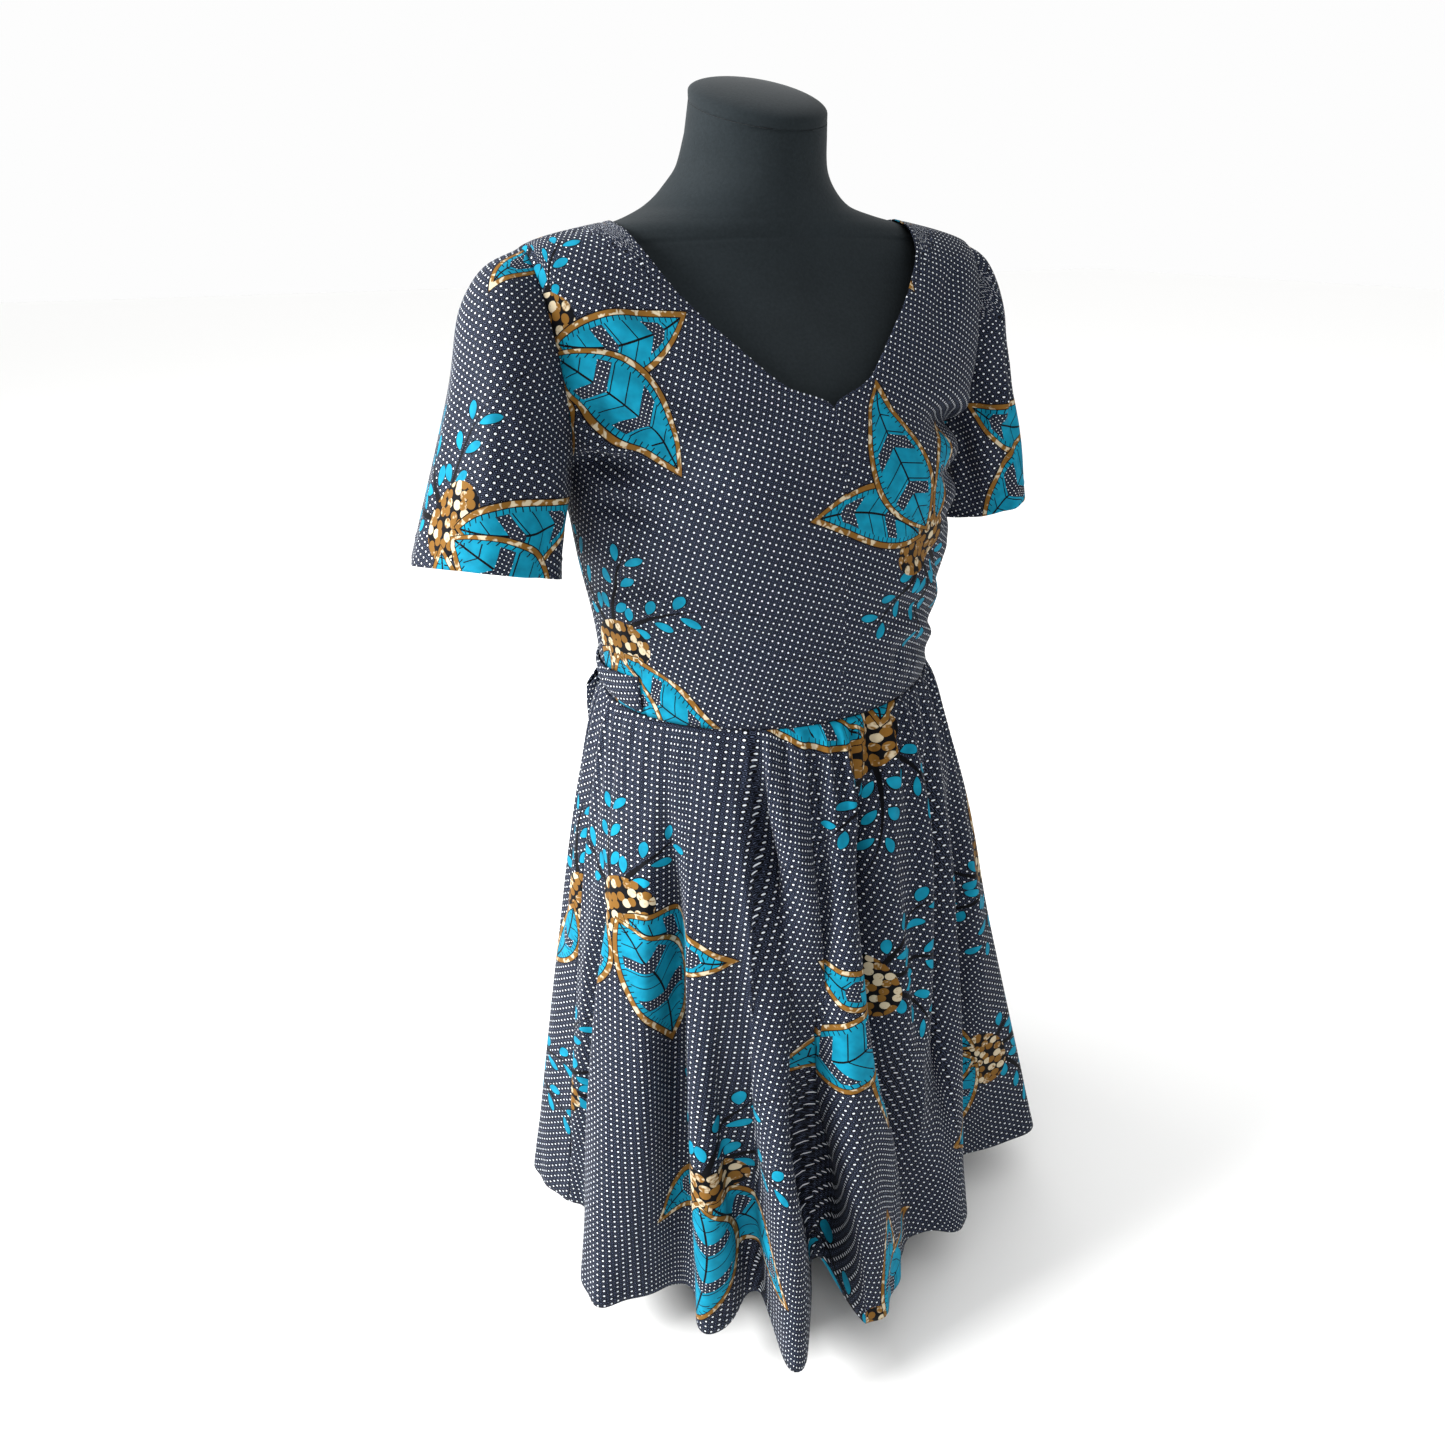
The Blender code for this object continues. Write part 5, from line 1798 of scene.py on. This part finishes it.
@dataclass
class DressForm:
    """The limbless form: torso, neck cap, pole and base."""

    jersey: bpy.types.Material
    steel: bpy.types.Material
    columns: int = 144
    row_steps: int = 6
    ease: float = 0.002
    bare_run: tuple[float, float] = (0.360, 0.384)
    neck_radius: float = 0.053
    neck_centre_y: float = 0.012
    neck_rise: float = 0.016
    neck_tilt: float = math.radians(18.0)
    neck_rings: int = 8
    rim_rings: tuple[tuple[float, float], ...] = ((0.0, 0.993), (0.0008, 0.999), (0.0040, 1.0))
    rim_height: float = 0.006
    dome_height: float = 0.012
    dome_rings: int = 16
    dome_turn: float = 86.0
    seam_height: float = 0.352
    seam_drop: float = 0.010
    seam_depth: float = 0.0007
    seam_width: float = 0.0013
    seam_front: tuple[float, float] = (-0.2, 0.3)
    sharp_angle: float = math.radians(60.0)

    def shell(self, name: str, rings: np.ndarray, node: str) -> None:
        """Makes a closed shell from rings and settles it.

        Args:
            name: The piece's name.
            rings: Rings of points from the bottom up.
            node: The node it stands for.
        """
        rows, columns = rings.shape[:2]
        sheet = Sheet(rings, rings[:, :, :2], looped=True)
        caps = [tuple(range(columns))[::-1], tuple(range((rows - 1) * columns, rows * columns))]
        points = rings.reshape(-1, 3) + (0.0, 0.0, WAIST_Z)
        mesh = bpy.data.meshes.new(name)
        mesh.from_pydata(points.tolist(), [], sheet.faces().tolist() + caps)
        mesh.shade_smooth()
        mesh.set_sharp_from_angle(angle=self.sharp_angle)
        mesh.materials.append(self.jersey)
        piece = bpy.data.objects.new(name, mesh)
        bpy.context.collection.objects.link(piece)
        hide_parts(node)
        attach(piece, "root")
        LOG.info("%s: %d faces", name, len(mesh.polygons))

    def turns(self) -> np.ndarray:
        """Spaces the columns round the form.

        Returns:
            Each column's turn from the front, in radians.
        """
        return 2.0 * math.pi * np.arange(self.columns) / self.columns

    def neck_ring(self, radius: np.ndarray | float, height: np.ndarray | float = 0.0) -> np.ndarray:
        """Places rings over the slanting top of the neck.

        Args:
            radius: Their radius.
            height: Their height over the top.

        Returns:
            The rings' points.
        """
        forward = -radius * np.cos(self.turns())
        z = FORM_ROWS[-1].height + self.neck_rise + forward * math.tan(self.neck_tilt) + height
        return stacked(radius * np.sin(self.turns()), self.neck_centre_y + forward, z)

    def torso(self) -> np.ndarray:
        """Builds the torso and neck, with the cover's seam at the foot of the neck.

        Returns:
            Rings of points.
        """
        rows = np.array(FORM_ROWS)
        steps = np.arange(len(rows))
        fine = np.interp(np.arange(steps[-1] * self.row_steps + 1) / self.row_steps, steps, rows[:, 0])
        rows = follow(rows[:, 0], rows, fine).T[:, :, None]
        height, half_x, front, back, middle, square = rows
        turn = self.turns()
        ahead, aside = (np.sign(at) * np.abs(at) ** (2.0 / square) for at in (np.cos(turn), np.sin(turn)))
        ease = self.ease * (1.0 - soft_step(*self.bare_run, height))
        reach = np.where(ahead > 0.0, front + middle, back - middle) - ease
        points = stacked((half_x - ease) * aside, middle - reach * ahead, height)
        share = np.linspace(0.0, 1.0, self.neck_rings + 1)[1:, None, None]
        points = np.concatenate([points, points[-1] * (1.0 - share) + self.neck_ring(self.neck_radius) * share])
        seam = self.seam_height + self.seam_drop * np.cos(turn) - points[:, :, 2]
        sheet = Sheet(points, points[:, :, :2], looped=True)
        sheet.press(self.seam_depth * bump(seam, self.seam_width) * soft_step(*self.seam_front, np.cos(turn)))
        return sheet.points

    def cap(self) -> np.ndarray:
        """Builds the rounded cap on the slanting neck top.

        Returns:
            Rings of points.
        """
        rise = np.radians(np.linspace(0.0, self.dome_turn, self.dome_rings))
        heights, radii = np.array(self.rim_rings).T
        heights = np.append(heights, self.rim_height + self.dome_height * np.sin(rise))[:, None]
        radii = np.append(radii, np.cos(rise))[:, None]
        return self.neck_ring(self.neck_radius * radii, heights + REST_GAP)

    def build(self, nodes: dict[str, bpy.types.Object]) -> None:
        """Builds the jersey parts and dresses the steel ones.

        Args:
            nodes: The frame's nodes by name.
        """
        self.shell("form_torso_cover", self.torso(), "form_torso")
        self.shell("form_neck_cap_cover", self.cap(), "form_neck_cap")
        for name in ("form_pole", "form_base"):
            for slot in nodes[name].material_slots:
                slot.material = self.steel
            LOG.info("%s: solid kept, %s", name, self.steel.name)


class Lamp(NamedTuple):
    """A soft square light: its name, place, side in metres, watts and sRGB colour."""

    name: str
    place: tuple[float, float, float]
    size: float
    watts: float
    colour: str


@dataclass
class Studio:
    """Camera, lights and floor."""

    turn: float = math.radians(27.83)
    pitch: float = math.radians(19.857)
    distance: float = 0.8741
    height: float = 0.9599
    focal_px: float = 1061.96
    centre_px: tuple[float, float] = (765.17, 594.6)
    frame_px: float = 1445.0
    sensor_mm: float = 36.0
    clip_start: float = 0.01
    lamps: tuple[Lamp, ...] = (
        Lamp("window_left", (-2.95, 0.5, 2.1), 1.2, 200.0, "#ffffff"),
        Lamp("fill_front", (-0.6, -3.0, 1.8), 2.0, 2.0, "#f8faff"),
        Lamp("back_left", (-2.2, 2.2, 2.4), 1.6, 46.0, "#ffffff"),
    )
    lit_height: float = 0.6
    room_colour: str = "#fdfdfd"
    room_dark: float = 0.20
    room_wall: float = 1.0
    wall_edge: tuple[float, float] = (0.62, 0.80)
    room_ceiling: float = 1.32
    ceiling_edge: tuple[float, float] = (0.42, 0.85)
    floor_half: float = 14.0
    floor_cells: int = 8

    def camera(self) -> None:
        """Places the camera where the picture was taken from."""
        back = Vector((-math.sin(self.turn), -math.cos(self.turn), 0.0))
        right = Vector((math.cos(self.turn), -math.sin(self.turn), 0.0))
        forward = -back * math.cos(self.pitch) + Vector((0.0, 0.0, -math.sin(self.pitch)))
        up = right.cross(forward)
        data = bpy.data.cameras.new("camera")
        data.sensor_width = self.sensor_mm
        data.lens = self.focal_px / self.frame_px * self.sensor_mm
        data.shift_x = -(self.centre_px[0] - self.frame_px / 2.0) / self.frame_px
        data.shift_y = (self.centre_px[1] - self.frame_px / 2.0) / self.frame_px
        data.clip_start = self.clip_start
        eye = bpy.data.objects.new("camera", data)
        bpy.context.collection.objects.link(eye)
        turned = Matrix((right, up, -forward)).transposed().to_4x4()
        turned.translation = back * self.distance + Vector((0.0, 0.0, self.height))
        eye.matrix_world = turned
        bpy.context.scene.camera = eye

    def light(self, lamp: Lamp) -> None:
        """Adds one soft light that faces the middle of the dress.

        Args:
            lamp: What it is like.
        """
        data = bpy.data.lights.new(lamp.name, "AREA")
        data.size = lamp.size
        data.energy = lamp.watts
        data.color = linear(lamp.colour)[:3]
        made = bpy.data.objects.new(lamp.name, data)
        bpy.context.collection.objects.link(made)
        made.location = lamp.place
        toward = Vector((0.0, 0.0, self.lit_height)) - Vector(lamp.place)
        made.rotation_euler = toward.to_track_quat("-Z", "Y").to_euler()

    def room(self) -> None:
        """Lights the room from its wall behind the dress and from its ceiling."""
        world = bpy.data.worlds.new("pale_room")
        world.use_nodes = True
        put = partial(add, world.node_tree)
        toward = put(SKY_PLACE)
        facing = put(V_DOT, (toward, (math.sin(self.turn), math.cos(self.turn), 0.0)))
        wall = put(RANGE, (facing, *self.wall_edge, self.room_dark, self.room_wall))
        ceiling = put(RANGE, (put(SPLIT, (toward,), "Z"), *self.ceiling_edge, 0.0, self.room_ceiling))
        background = world.node_tree.nodes["Background"]
        feed(background, {"Color": linear(self.room_colour), "Strength": put(PLUS, (wall, ceiling))})
        bpy.context.scene.world = world

    def build(self, floor_finish: bpy.types.Material) -> None:
        """Builds the studio round the dress.

        Args:
            floor_finish: The floor's material.
        """
        self.camera()
        for lamp in self.lamps:
            self.light(lamp)
        self.room()
        bpy.context.scene.view_settings.view_transform = "Standard"
        shape = bmesh.new()
        cells = self.floor_cells
        bmesh.ops.create_grid(shape, x_segments=cells, y_segments=cells, size=self.floor_half)
        mesh = bpy.data.meshes.new("floor")
        shape.to_mesh(mesh)
        shape.free()
        mesh.materials.append(floor_finish)
        floor = bpy.data.objects.new("floor", mesh)
        bpy.context.collection.objects.link(floor)


def main() -> None:
    """Builds the piece classes in order and reports them."""
    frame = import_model()
    Studio().build(PaleFloor().build())
    cotton = WaxPrintedCotton().build()
    jersey = JerseyCover().build()
    steel = PowderCoatedSteel().build()
    for parts in (Bodice(cotton), Sleeves(cotton), Skirt(cotton), Ties(cotton)):
        parts.build()
        LOG.info("%s built", type(parts).__name__)
    DressForm(jersey, steel).build(frame["nodes"])


if __name__ == "__main__":
    logging.basicConfig(level=logging.INFO, format="%(message)s")
    main()
